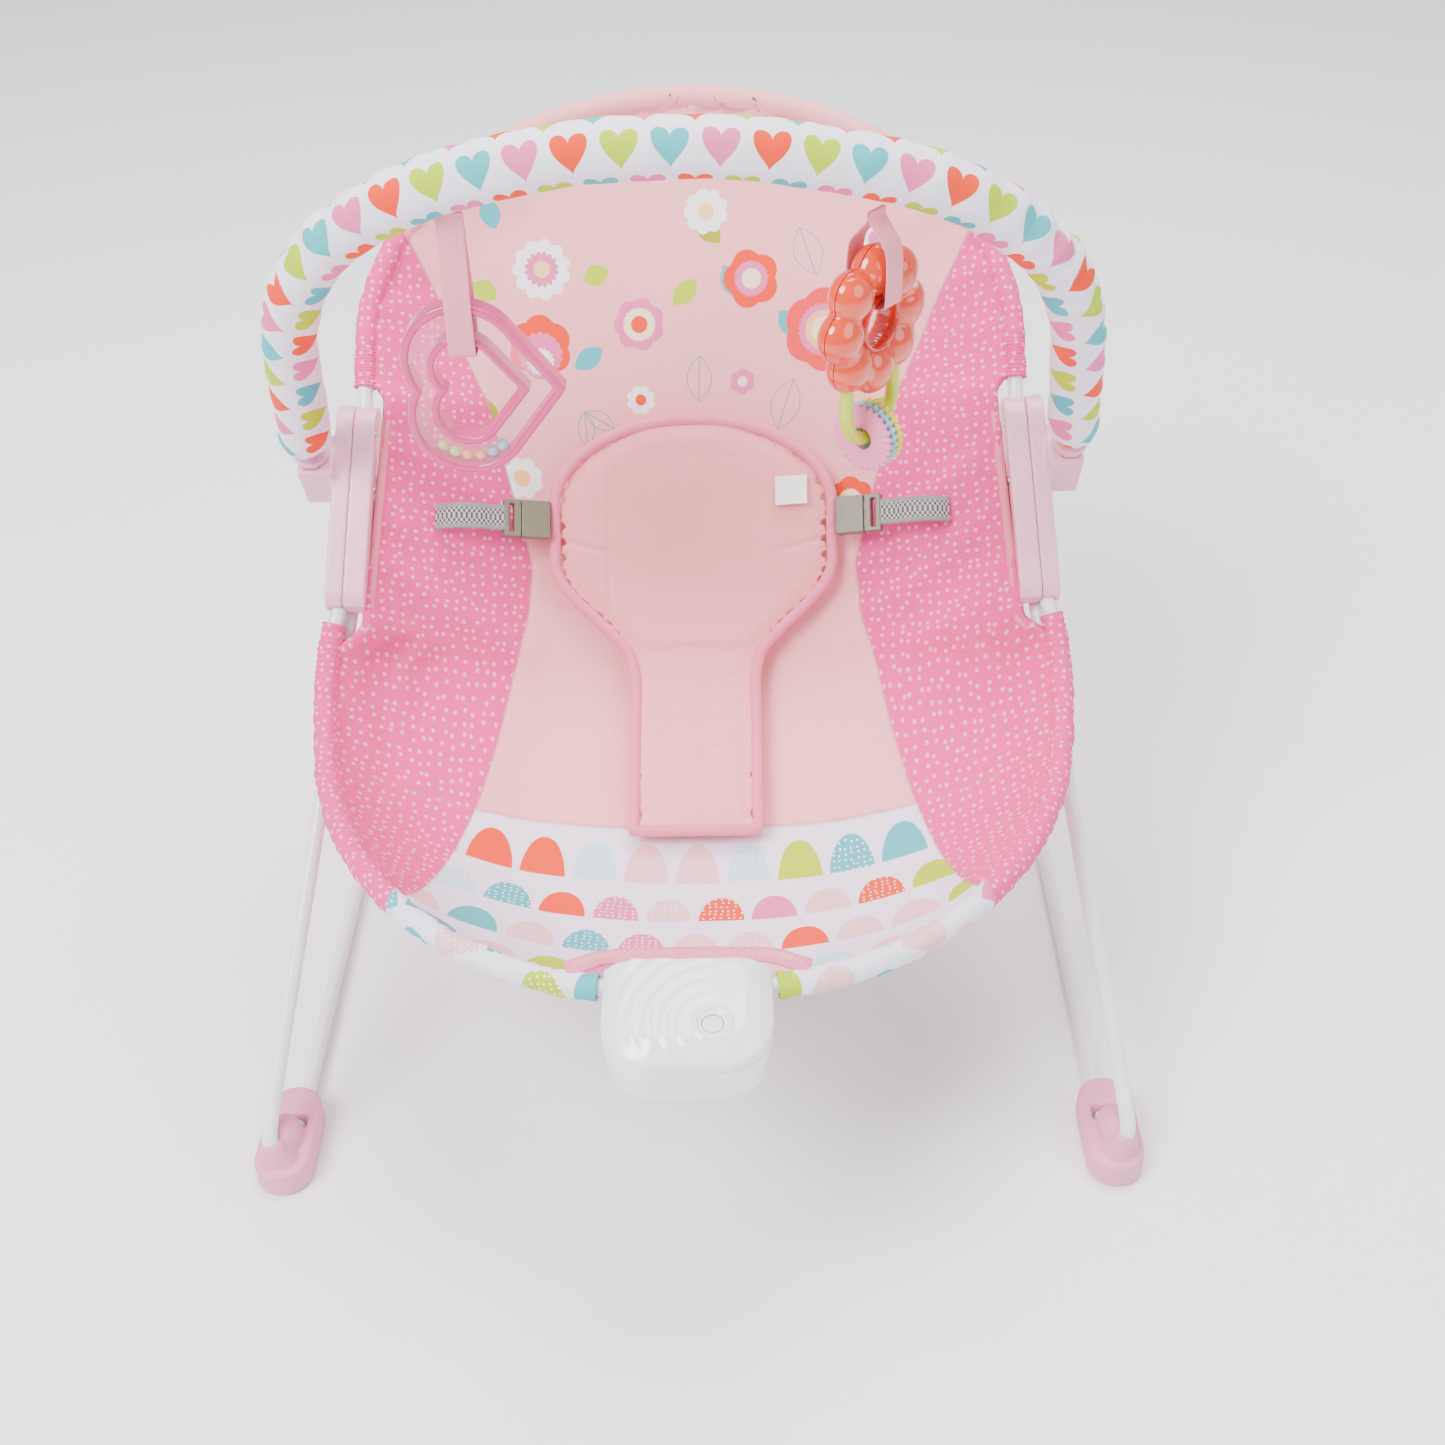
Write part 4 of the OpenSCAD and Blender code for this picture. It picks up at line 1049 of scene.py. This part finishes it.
def makeCasing(name, kind, replaced):
    # the sewn channel that holds the cover on its tube, gathered a little
    verts, pairs, seams = [], [], []
    sides = 20
    stops = casingStops(kind)
    for i, (q, s, a) in enumerate(stops):
        if kind == "back" and a is not None:
            y, z = profileAt(q)
            centre = Vector((seat["backHalf"] * math.cos(a), y, z))
            out2 = Vector((math.cos(a) / seat["backHalf"], math.sin(a) /
                (seat["topQ"] - seat["crownQ"]))).normalized()
        elif kind != "back" and a is not None:
            y, z = profileAt(q)
            centre = Vector((s * (seat["frontRun"] + (seat["hipHalf"] - seat["frontRun"]) * math.sin(a)), y,
                z))
            out2 = Vector((s * math.sin(a) / (seat["hipHalf"] - seat["frontRun"]), -math.cos(a) /
                seat["hipQ"])).normalized()
        else:
            centre, pair = hoopPoint(q, s)
            out2 = Vector(pair)
        slope = slopeAt(q)
        out = Vector((out2[0], out2[1] * math.cos(slope), out2[1] * math.sin(slope)))
        up = Vector((0, -math.sin(slope), math.cos(slope)))
        flare = 0.5 * math.exp(-min(i, len(stops) - 1 - i) / 2.0)
        for k in range(sides + 1):
            angle = 2 * math.pi * (k % sides) / sides
            crease = noise.noise(centre / 9 + Vector((math.cos(angle), math.sin(angle), 0)) * 0.5) * 0.9
            crease += 0.35 * math.sin(i * 1.9 + 1.5 * math.sin(angle + i * 0.2))
            radius = seat["casingR"] + crease + flare
            verts.append((centre + (out * math.cos(angle) + up * math.sin(angle)) * radius) * mm)
            turn = (math.pi / 2 - 2 * math.pi * k / sides)
            turn = (turn + math.pi) % (2 * math.pi) - math.pi if k not in (0, sides) else math.pi / 2
            flat = Vector((centre.x, q)) + out2 * radius * turn
            pairs.append((flat.x * mm, flat.y * mm))
            seams.append(((abs(flat.x) - lerpTable(sideSeam, flat.y)) * mm, (seat["frontSeam"] - flat.y) *
                mm))
    row = sides + 1
    faces = [(i * row + k, i * row + row + k, i * row + row + k + 1, i * row + k + 1) for i in
        range(len(stops) - 1) for k in range(sides)]
    obj = meshPiece(name, verts, faces, {"cloth": pairs, "seam": seams})
    facesOut(obj)
    wall = obj.modifiers.new("wall", "SOLIDIFY")
    wall.thickness = 1.2 * mm
    wall.offset = -1
    applyAll(obj)
    smoothShade(obj, 60)
    return dress(obj, paint["cover"], "seat", replaced)


def stitchRun(name, path, ups, pitch=3.4, length=2.3, thick=0.45):
    # a row of sewn stitches along a path, all in one mesh
    verts, faces, travelled, last = [], [], 0.0, 0.0
    for i in range(1, len(path)):
        gapHere = (path[i] - path[i - 1]).length / mm
        along = (path[i] - path[i - 1]).normalized()
        while last + pitch <= travelled + gapHere:
            last += pitch
            centre = path[i - 1] + along * ((last - travelled) * mm)
            up = ups[i].normalized()
            side = along.cross(up)
            base = len(verts)
            for end in (-1, 1):
                for k in range(6):
                    a = math.pi * k / 3
                    verts.append(centre + along * end * 0.36 * length * mm +
                        (side * math.cos(a) + up * math.sin(a)) * thick * mm)
            verts += [centre - along * 0.5 * length * mm - up * thick * 0.5 * mm, centre + along * 0.5 *
                length * mm - up * thick * 0.5 * mm]
            for k in range(6):
                j = (k + 1) % 6
                faces += [(base + k, base + j, base + 6 + j, base + 6 + k), (base + 12, base + j, base + k),
                    (base + 13, base + 6 + k, base + 6 + j)]
        travelled += gapHere
    obj = meshPiece(name, verts, faces)
    pickOnly(obj)
    bpy.ops.object.mode_set(mode="EDIT")
    bpy.ops.mesh.select_all(action="SELECT")
    bpy.ops.mesh.normals_make_consistent(inside=False)
    bpy.ops.object.mode_set(mode="OBJECT")
    return obj


cover = makeCover()
makeCasing("leftSeatCasing", -1, ["seat_hem"])
makeCasing("rightSeatCasing", 1, [])
makeCasing("backCasing", "back", ["back_hem"])


def edgeRoll(s):
    # the free edge of the cover beside a hub, rolled and sewn
    path = []
    for i in range(60):
        q = 250 + 150 * i / 59
        path.append(coverPoint(q, s * (rowHalf(q) - 0.5), rowHalf(q), 1.2))
    return sweep("leftEdgeRoll" if s < 0 else "rightEdgeRoll", path, lambda t, a:
        (2.6 * mm * math.cos(a), 2.8 * mm * math.sin(a)), 12)


for s in (-1, 1):
    dress(edgeRoll(s), paint["binding"], "seat", ())


def frontBinding():
    # the bound edge round the unit's opening, with its row of zigzag stitches
    knots = [(-58, 9, 5), (-49, 12, 6), (-42, 17, 4), (-30, 20, 2.5), (0, 21, 2), (30, 20, 2.5),
        (42, 17, 4), (49, 12, 6), (58, 9, 5)]
    path = curvePoints([Vector((x, seat["frontY"] + q, seat["rail"] + lift)) * mm for x, q, lift in knots],
        90)
    obj = sweep("unitOpeningBinding", path, lambda t, a: (2.0 * mm * math.cos(a), 5.2 * mm * math.sin(a)),
        18, start=(0, 0, 1))
    dress(obj, paint["binding"], "seat", ())
    zig, ups = [], []
    for i, p in enumerate(path[4:-4]):
        zig.append(p + Vector((0, (1.6 if i % 2 else -1.6) * mm, 2.1 * mm)))
        ups.append(Vector((0, 0, 1)))
    dress(stitchRun("openingStitches", zig, ups, 2.2, 2.0, 0.32), paint["thread"], "seat", ())


frontBinding()
step("seat cover")

# the harness lies on the cover
harness = {"startQ": 172, "endQ": 380, "stem": 36, "wing": 82, "thick": 6, "lift": 3, "slungHalf": 178,
    "buckleQ": 322, "buckleX": 84, "rise": math.radians(22)}


def harnessHalf(q):
    h = harness
    if q < 330:
        return h["stem"] + (h["wing"] - h["stem"]) * ease((q - 235) / 62)
    return h["wing"] * math.sqrt(max(0.0, 1 - ((q - 330) / (h["endQ"] + 1 - 330)) ** 2))


def harnessPoint(q, t, depth):
    return coverPoint(q, t * harnessHalf(q), harness["slungHalf"], depth)


def makeVest():
    cols = 26
    qs = [harness["startQ"] + (330 - harness["startQ"]) * i / 36 for i in range(37)]
    qs += [330 + (harness["endQ"] - 330) * math.sin(math.radians(88 * i / 16)) for i in range(1, 17)]
    verts = []
    for q in qs:
        for c in range(cols + 1):
            t = 2 * c / cols - 1
            crown = (1 - abs(t) ** 4) ** 0.5
            verts.append((harnessPoint(q, t, -harness["lift"] - 2.6 - 2.2 * crown),
                harnessPoint(q, t, -harness["lift"] - 2.2 + 1.6 * crown)))
    n = len(verts)
    w = cols + 1
    faces = []
    for r in range(len(qs) - 1):
        for c in range(cols):
            a = r * w + c
            faces.append((a, a + 1, a + w + 1, a + w))
            faces.append((n + a, n + a + w, n + a + w + 1, n + a + 1))
    edge = [c for c in range(w)] + [r * w + cols for r in range(1, len(qs))]
    edge += [(len(qs) - 1) * w + c for c in range(cols - 1, -1, -1)] + [r * w for r in
        range(len(qs) - 2, 0, -1)]
    for i, a in enumerate(edge):
        b = edge[(i + 1) % len(edge)]
        faces.append((b, a, n + a, n + b))
    obj = meshPiece("harnessVest", [v[0] for v in verts] + [v[1] for v in verts], faces)
    facesOut(obj)
    remesh = obj.modifiers.new("even", "REMESH")
    remesh.mode = "VOXEL"
    remesh.voxel_size = 2.6 * mm
    applyAll(obj)
    clothRun(obj, 12, 2.5, pressure=2.5, stiff=20)
    fine = obj.modifiers.new("fine", "SUBSURF")
    fine.levels = fine.render_levels = 1
    applyAll(obj)
    layer = obj.data.uv_layers.new(name="cloth")
    for loop in obj.data.loops:
        co = obj.data.vertices[loop.vertex_index].co
        layer.data[loop.index].uv = (co.x, lengthAt(co.y / mm, co.z / mm) * mm)
    normals = [v.normal.copy() for v in obj.data.vertices]
    for v, normal in zip(obj.data.vertices, normals):
        x, q = v.co.x / mm, lengthAt(v.co.y / mm, v.co.z / mm)
        half = max(harnessHalf(q), 1)
        top = normal.z > 0.1
        away = 0.5 * noise.noise(Vector((x / 20, q / 20, 1)))
        if top:
            quilt = math.exp(-((abs(x) - 50) / 1.5) ** 2) * ease((q - 262) / 10)
            quilt += 0.5 * math.exp(-((half - abs(x) - 7) / 2.4) ** 2)
            quilt += math.exp(-((q - 300 - (abs(x) / 15) ** 2 * 0.4) / 1.5) ** 2) * (abs(x) > 50)
            away -= 0.9 * min(quilt, 1)
        v.co += normal * away * mm
    smoothShade(obj)
    dress(obj, paint["vest"], "seat", ["crotch_pad"])


def vestEdge():
    right = [(q, 1) for q in (172, 182, 196, 210, 224, 236, 246, 256, 266, 276, 286, 296, 308, 320, 330)]
    right += [(330 + 50.9 * math.sin(math.radians(a)), 1) for a in range(6, 90, 6)]
    pts = [harnessPoint(q, t, -harness["lift"] - 2.6) for q, t in right]
    mirror = [Vector((-p.x, p.y, p.z)) for p in reversed(pts)]
    top = [harnessPoint(harness["endQ"] + 0.9, 0, -harness["lift"] - 2.6)]
    return pts + top + mirror


def makeBinding():
    knots = vestEdge()
    path = curvePoints(knots, 320)
    start = [path[-1].lerp(path[0], i / 30) for i in range(1, 30)]
    obj = sweep("vestBinding", path + start, lambda t, a: (3.5 * mm * math.cos(a), 3.3 * mm * math.sin(a)),
        16, closed=True)
    normals = [v.normal.copy() for v in obj.data.vertices]
    for v, normal in zip(obj.data.vertices, normals):
        v.co += normal * 0.25 * mm * noise.noise(v.co * 260)
    dress(obj, paint["binding"], "seat", ())


def buckleFrame(s):
    h = harness
    at = coverPoint(h["buckleQ"], h["buckleX"], h["slungHalf"], -h["lift"] - 6)
    turn = Matrix.Rotation(seat["lean"], 4, "X") @ Matrix.Rotation(-h["rise"], 4, "Y")
    place = Matrix.Translation(at) @ turn
    return place if s > 0 else Matrix.Scale(-1, 4, (1, 0, 0)) @ place


def waistStrap(s):
    place = buckleFrame(s)
    knots = [(24.6, -1.5), (26.5, 1.6), (29, 1.4), (36, 0.2), (44, 1.3), (53, 0.4), (60, -3.0), (66, -9.0)]
    path = [place @ (Vector((x, 0, z)) * mm) for x, z in knots]
    path = curvePoints(path, 44)
    normal = (place.to_3x3() @ Vector((0, 0, 1))).normalized()

    def webbing(t, a):
        c, d = math.cos(a), math.sin(a)
        return 0.75 * mm * math.copysign(abs(c) ** 0.5, c), 7.6 * mm * math.copysign(abs(d) ** 0.35, d)
    obj = sweep("leftWaistStrap" if s < 0 else "rightWaistStrap", path, webbing, 24, start=normal)
    side = "left" if s < 0 else "right"
    dress(obj, paint["strap"], "seat", ["waist_strap_" + side])
    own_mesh(obj)


def makeTag():
    place = Matrix.Translation(coverPoint(338, 58, 178, -harness["lift"] -
        9.2)) @ Matrix.Rotation(seat["lean"], 4, "X")
    place = place @ Matrix.Rotation(math.radians(-10), 4, "Y")
    pickNone()
    bpy.ops.mesh.primitive_grid_add(x_subdivisions=16, y_subdivisions=14, size=1)
    obj = bpy.context.active_object
    obj.name = "blankSideTag"
    for v in obj.data.vertices:
        x, y = v.co.x * 19, v.co.y * 17
        v.co = place @ (Vector((x, y, 0.6 * math.sin(x / 5) + 0.02 * y * y * 0.3)) * mm)
    solid = obj.modifiers.new("thick", "SOLIDIFY")
    solid.thickness = 0.7 * mm
    applyAll(obj)
    smoothShade(obj, 40)
    return dress(obj, paint["tag"], "seat", ["side_tag"])


makeVest()
makeBinding()
for s in (-1, 1):
    waistStrap(s)
makeTag()
step("harness")

# the padded sleeve of the toy bar
bar = {"mouth": (213, 55, 308), "lean": math.radians(64), "sleeveR": 14.0}
barHalf = [(213, 9), (212.6, 18), (210.5, 30), (208, 50), (203, 90), (196, 120), (184, 148), (166, 172),
    (143, 192), (115, 208), (84, 219), (50, 227), (24, 230.5), (0, 231.5)]
barUp = Vector((0, -math.cos(bar["lean"]), math.sin(bar["lean"])))


def barPoint(x, up):
    return (Vector((x, bar["mouth"][1], bar["mouth"][2])) + barUp * up) * mm


def makeSleeve():
    knots = [barPoint(x, up) for x, up in barHalf]
    knots += [barPoint(-x, up) for x, up in reversed(barHalf[:-1])]
    path = curvePoints(knots, 520)
    total = sum((b - a).length for a, b in zip(path, path[1:])) / mm

    def padding(s, a):
        at = s / mm
        fromEnd = min(at, total - at)
        r = bar["sleeveR"] * (0.62 + 0.38 * math.sqrt(min(1, fromEnd / 9)))
        bend = math.exp(-((fromEnd - 150) / 70) ** 2) + 0.35
        r += 0.9 * noise.noise(Vector((at / 26, math.cos(a) * 0.9, math.sin(a) * 0.9)))
        inner = ease(0.5 + 0.5 * math.sin(a))
        r += 0.55 * bend * math.sin(at / 2.6 + 2.5 * math.sin(at / 23) + math.sin(a)) * (0.25 + inner)
        r += 0.5 * math.exp(-fromEnd / 12) * math.sin(a * 11)
        return r * mm * math.cos(a), r * mm * math.sin(a)
    obj = sweep("toyBarSleeve", path, padding, 36, start=(0, -math.sin(bar["lean"]),
        -math.cos(bar["lean"])))
    smoothShade(obj, 80)
    dress(obj, paint["hearts"], "toy_bar", ["toy_bar_sleeve"])


makeSleeve()
step("toy bar")

# the two hanging toys
toys = {"hang": barPoint(0, 217) / mm - Vector((0, 0, 16)), "heartX": -105, "ribbonX": -104, "flowerX": 92,
    "turn": math.radians(50), "flowerDrop": 58, "petalR": 12.8, "petalC": 25, "loopDrop": 43, "loopR": 19}


def hangRibbon(name, origin, turn, drop, spread, gapHalf, replaced, body):
    # a ribbon folded over a rim, its two ends sewn together above
    place = Matrix.Translation(Vector(origin) * mm) @ Matrix.Rotation(turn, 4, "Z")
    half = [(-0.7, 0.5), (-0.9, -4), (-gapHalf * 0.45, -spread * 0.5), (-gapHalf * 0.95, -spread),
        (-gapHalf, -drop * 0.9), (-gapHalf * 0.85, -drop - 0.3), (-gapHalf * 0.4, -drop - 1.2)]
    knots = half + [(0, -drop - 1.4)] + [(-y, z) for y, z in reversed(half)]
    path = curvePoints([place @ (Vector((0, y, z)) * mm) for y, z in knots], 90)
    first = (place.to_3x3() @ Vector((0, 1, 0))).normalized()

    def flat(t, a):
        c, d = math.cos(a), math.sin(a)
        return 0.5 * mm * math.copysign(abs(c) ** 0.5, c), 6.5 * mm * math.copysign(abs(d) ** 0.3, d)
    obj = sweep(name, path, flat, 20, start=first)
    dress(obj, paint["ribbon"], body, replaced)
    box, ups = [], []
    for x, z in ((-4.5, -6), (4.5, -6), (4.5, -15), (-4.5, -15), (-4.5, -6), (4.5, -15)):
        box.append(place @ (Vector((x, -0.9 - gapHalf * 0.45 * -z / (spread * 0.5) * 0.75, z)) * mm))
        ups.append(place.to_3x3() @ Vector((0, -1, 0)))
    dress(stitchRun(name + "Stitches", box, ups, 2.0, 1.6, 0.25), paint["thread"], body, ())


hangRibbon("heartRibbon", (toys["ribbonX"], toys["hang"].y, toys["hang"].z - 2.5), 0, 67.6, 41, 7.2,
    ["heart_ribbon"], "heart")
hangRibbon("flowerRibbon", (toys["flowerX"], toys["hang"].y, toys["hang"].z - 4.2), toys["turn"], 43.8, 18,
    11.4, ["flower_ribbon"], "flower")

for nodeName in ("heart_window_front", "heart_window_back"):
    paintNode(nodeName, paint["window"], 0.3)


def beadMaterial():
    mat, tree, shader = newMaterial("beadColours", Roughness=0.2)
    shader.inputs["Coat Weight"].default_value = 0.5
    vector = surfaceVector(tree)
    x = parts(tree, vector)[0]
    at = div(tree, add(tree, x, 0.1238), 0.0376)
    color = pickColor(tree, at, [(0.50, 0.74, 0.06), (0.95, 0.36, 0.05), (0.16, 0.62, 0.66)])
    out = useGroup(tree, "grain", vector, Scale=700.0)
    tree.links.new(mixColor(tree, mul(tree, out["Gloss"], 0.2), color, (0.95, 0.95, 0.9)),
        shader.inputs["Base Color"])
    addBump(tree, shader, out["Height"], 0.05, 0.0002)
    return mat


def makeBeads():
    made = []
    centre = Vector((toys["heartX"], toys["hang"].y, toys["hang"].z - 90))
    for i in range(6):
        a = math.radians(270 + (i - 2.5) * 16.5)
        at = centre + Vector((22.5 * math.cos(a), 0, -15 + 22.5 * math.sin(a)))
        pickNone()
        bpy.ops.mesh.primitive_uv_sphere_add(segments=28, ring_count=16, radius=3 * mm, location=at * mm)
        bead = bpy.context.active_object
        bead.scale = (1, 1, 0.94)
        made.append(settle(bead))
    obj = joined("rattleBeads", made)
    smoothShade(obj)
    return dress(obj, beadMaterial(), "beads", ["heart_beads"])


makeBeads()
flowerPlace = (Matrix.Translation((toys["hang"] + Vector((toys["flowerX"], 0, -toys["flowerDrop"]))) * mm) @
    Matrix.Rotation(toys["turn"], 4, "Z") @ Matrix.Rotation(math.pi / 2, 4, "X"))


def makePetals(front):
    # puffed petals and a collar, cut flat where the two shells meet
    made = []
    for k in range(8):
        a = math.pi * k / 4
        pickNone()
        bpy.ops.mesh.primitive_uv_sphere_add(segments=36, ring_count=20, radius=toys["petalR"] * mm,
            location=(toys["petalC"] * math.cos(a) * mm, toys["petalC"] * math.sin(a) * mm, 0))
        petal = bpy.context.active_object
        petal.scale = (1, 1, 0.8)
        made.append(settle(petal))
    pickNone()
    bpy.ops.mesh.primitive_torus_add(major_radius=18.5 * mm, minor_radius=6 * mm, major_segments=64,
        minor_segments=20)
    made.append(bpy.context.active_object)
    pickNone()
    bpy.ops.mesh.primitive_torus_add(major_radius=24 * mm, minor_radius=8.2 * mm, major_segments=64,
        minor_segments=24)
    made.append(bpy.context.active_object)
    obj = joined("petalShellFront" if front else "petalShellBack", made)
    skin = obj.modifiers.new("skin", "REMESH")
    skin.mode = "VOXEL"
    skin.voxel_size = 0.75 * mm
    soften = obj.modifiers.new("soft", "SMOOTH")
    soften.iterations = 5
    applyAll(obj)
    pickOnly(obj)
    bpy.ops.object.mode_set(mode="EDIT")
    bpy.ops.mesh.select_all(action="SELECT")
    bpy.ops.mesh.bisect(plane_co=(0, 0, 0.25 * mm if front else -0.25 * mm), plane_no=(0, 0, 1),
        use_fill=True, clear_inner=front, clear_outer=not front)
    bpy.ops.object.mode_set(mode="OBJECT")
    obj.matrix_world = flowerPlace
    settle(obj)
    facesOut(obj)
    smoothShade(obj, 45)
    return dress(obj, paint["flower"], "flower", ["flower_front" if front else "flower_back"])


def makeEye():
    pickNone()
    bpy.ops.mesh.primitive_torus_add(major_radius=13.2 * mm, minor_radius=1.9 * mm, major_segments=96,
        minor_segments=14)
    obj = bpy.context.active_object
    obj.name = "flowerEyeLining"
    for v in obj.data.vertices:
        a = math.atan2(v.co.y, v.co.x)
        v.co.z *= 3.6
        ridge = 1 + 0.012 * math.sin(a * 24)
        v.co.x, v.co.y = v.co.x * ridge, v.co.y * ridge
    obj.matrix_world = flowerPlace
    settle(obj)
    smoothShade(obj)
    return dress(obj, paint["eye"], "flower", ())


def makeDisc(i, name, nodeName, matName, body):
    # a soft disc with fine pleats and a scalloped rim
    rounds, section = 168, []
    for r, z in ((5.7, -1.2), (5.7, 1.2), (7.5, 1.75), (10, 1.5), (13, 1.6), (16, 1.7), (17.4, 1.2),
            (17.9, 0), (17.4, -1.2), (16, -1.7), (13, -1.6), (10, -1.5), (7.5, -1.75)):
        section.append((r, z))
    verts = []
    for k in range(rounds):
        a = 2 * math.pi * k / rounds
        wave = math.cos(28 * a)
        for r, z in section:
            grow = max(0, (r - 7.5) / 10)
            rr = r - 0.7 * grow * (1 - wave) * (r > 12)
            zz = z + 0.35 * grow * wave * (1 if z > 0 else -1 if z < 0 else 0)
            verts.append((rr * math.cos(a) * mm, rr * math.sin(a) * mm, zz * mm))
    n = len(section)
    faces = [(k * n + j, (k + 1) % rounds * n + j, (k + 1) % rounds * n + (j + 1) % n, k * n + (j + 1) % n)
        for k in range(rounds) for j in range(n)]
    obj = meshPiece(name, verts, faces)
    obj.matrix_world = (flowerPlace @ Matrix.Translation(Vector((i * 4.4, -toys["loopDrop"] - toys["loopR"]
        + 0.5, 0)) * mm) @ Matrix.Rotation(math.pi / 2, 4, "Y"))
    settle(obj)
    facesOut(obj)
    smoothShade(obj, 50)
    return dress(obj, paint[matName], body, [nodeName])


makePetals(True)
makePetals(False)
makeEye()
makeDisc(-1, "pinkPleatedDisc", "pink_disc", "pinkDisc", "pink")
makeDisc(0, "bluePleatedDisc", "blue_disc", "blueDisc", "blue")
makeDisc(1, "yellowPleatedDisc", "yellow_disc", "yellowDisc", "yellow")
step("toys")

# floor, light and camera
studio = {"floor": (0.93, 0.93, 0.94), "world": 0.76, "key": 112, "fill": 20, "top": 72}


def makeFloor():
    pickNone()
    bpy.ops.mesh.primitive_plane_add(size=12, location=(0, 1.5, -0.0005))
    obj = bpy.context.active_object
    obj.name = "studioFloor"
    mat, tree, shader = newMaterial("paleFloor", Roughness=0.7)
    out = useGroup(tree, "grain", surfaceVector(tree), Scale=3.0)
    shade = mixColor(tree, out["Gloss"], studio["floor"], tuple(c + 0.015 for c in studio["floor"]))
    tree.links.new(shade, shader.inputs["Base Color"])
    obj.data.materials.append(mat)


def softLight(name, place, target, size, power):
    data = bpy.data.lights.new(name, "AREA")
    data.shape = "DISK"
    data.size = size
    data.energy = power
    lamp = bpy.data.objects.new(name, data)
    bpy.context.scene.collection.objects.link(lamp)
    lamp.location = place
    lamp.rotation_euler = (Vector(target) - Vector(place)).to_track_quat("-Z", "Y").to_euler()


makeFloor()
softLight("keyLight", (-1.3, -1.2, 2.2), (0, 0, 0.3), 1.4, studio["key"])
softLight("fillLight", (1.7, -1.0, 1.3), (0, 0, 0.3), 1.6, studio["fill"])
softLight("topLight", (0.2, 0.6, 2.4), (0, 0, 0.2), 1.8, studio["top"])
world = bpy.data.worlds.new("whiteRoom")
bpy.context.scene.world = world
world.use_nodes = True
world.node_tree.nodes["Background"].inputs["Color"].default_value = (1, 1, 1, 1)
world.node_tree.nodes["Background"].inputs["Strength"].default_value = studio["world"]

cameraData = bpy.data.cameras.new("viewCamera")
cameraData.lens = view["lens"]
cameraData.sensor_width = 36
camera = bpy.data.objects.new("viewCamera", cameraData)
bpy.context.scene.collection.objects.link(camera)
camera.location = view["place"]
camera.rotation_euler = (math.radians(90 - view["pitch"]), math.radians(view["roll"]), 0)
bpy.context.scene.camera = camera
step("floor, light and camera")
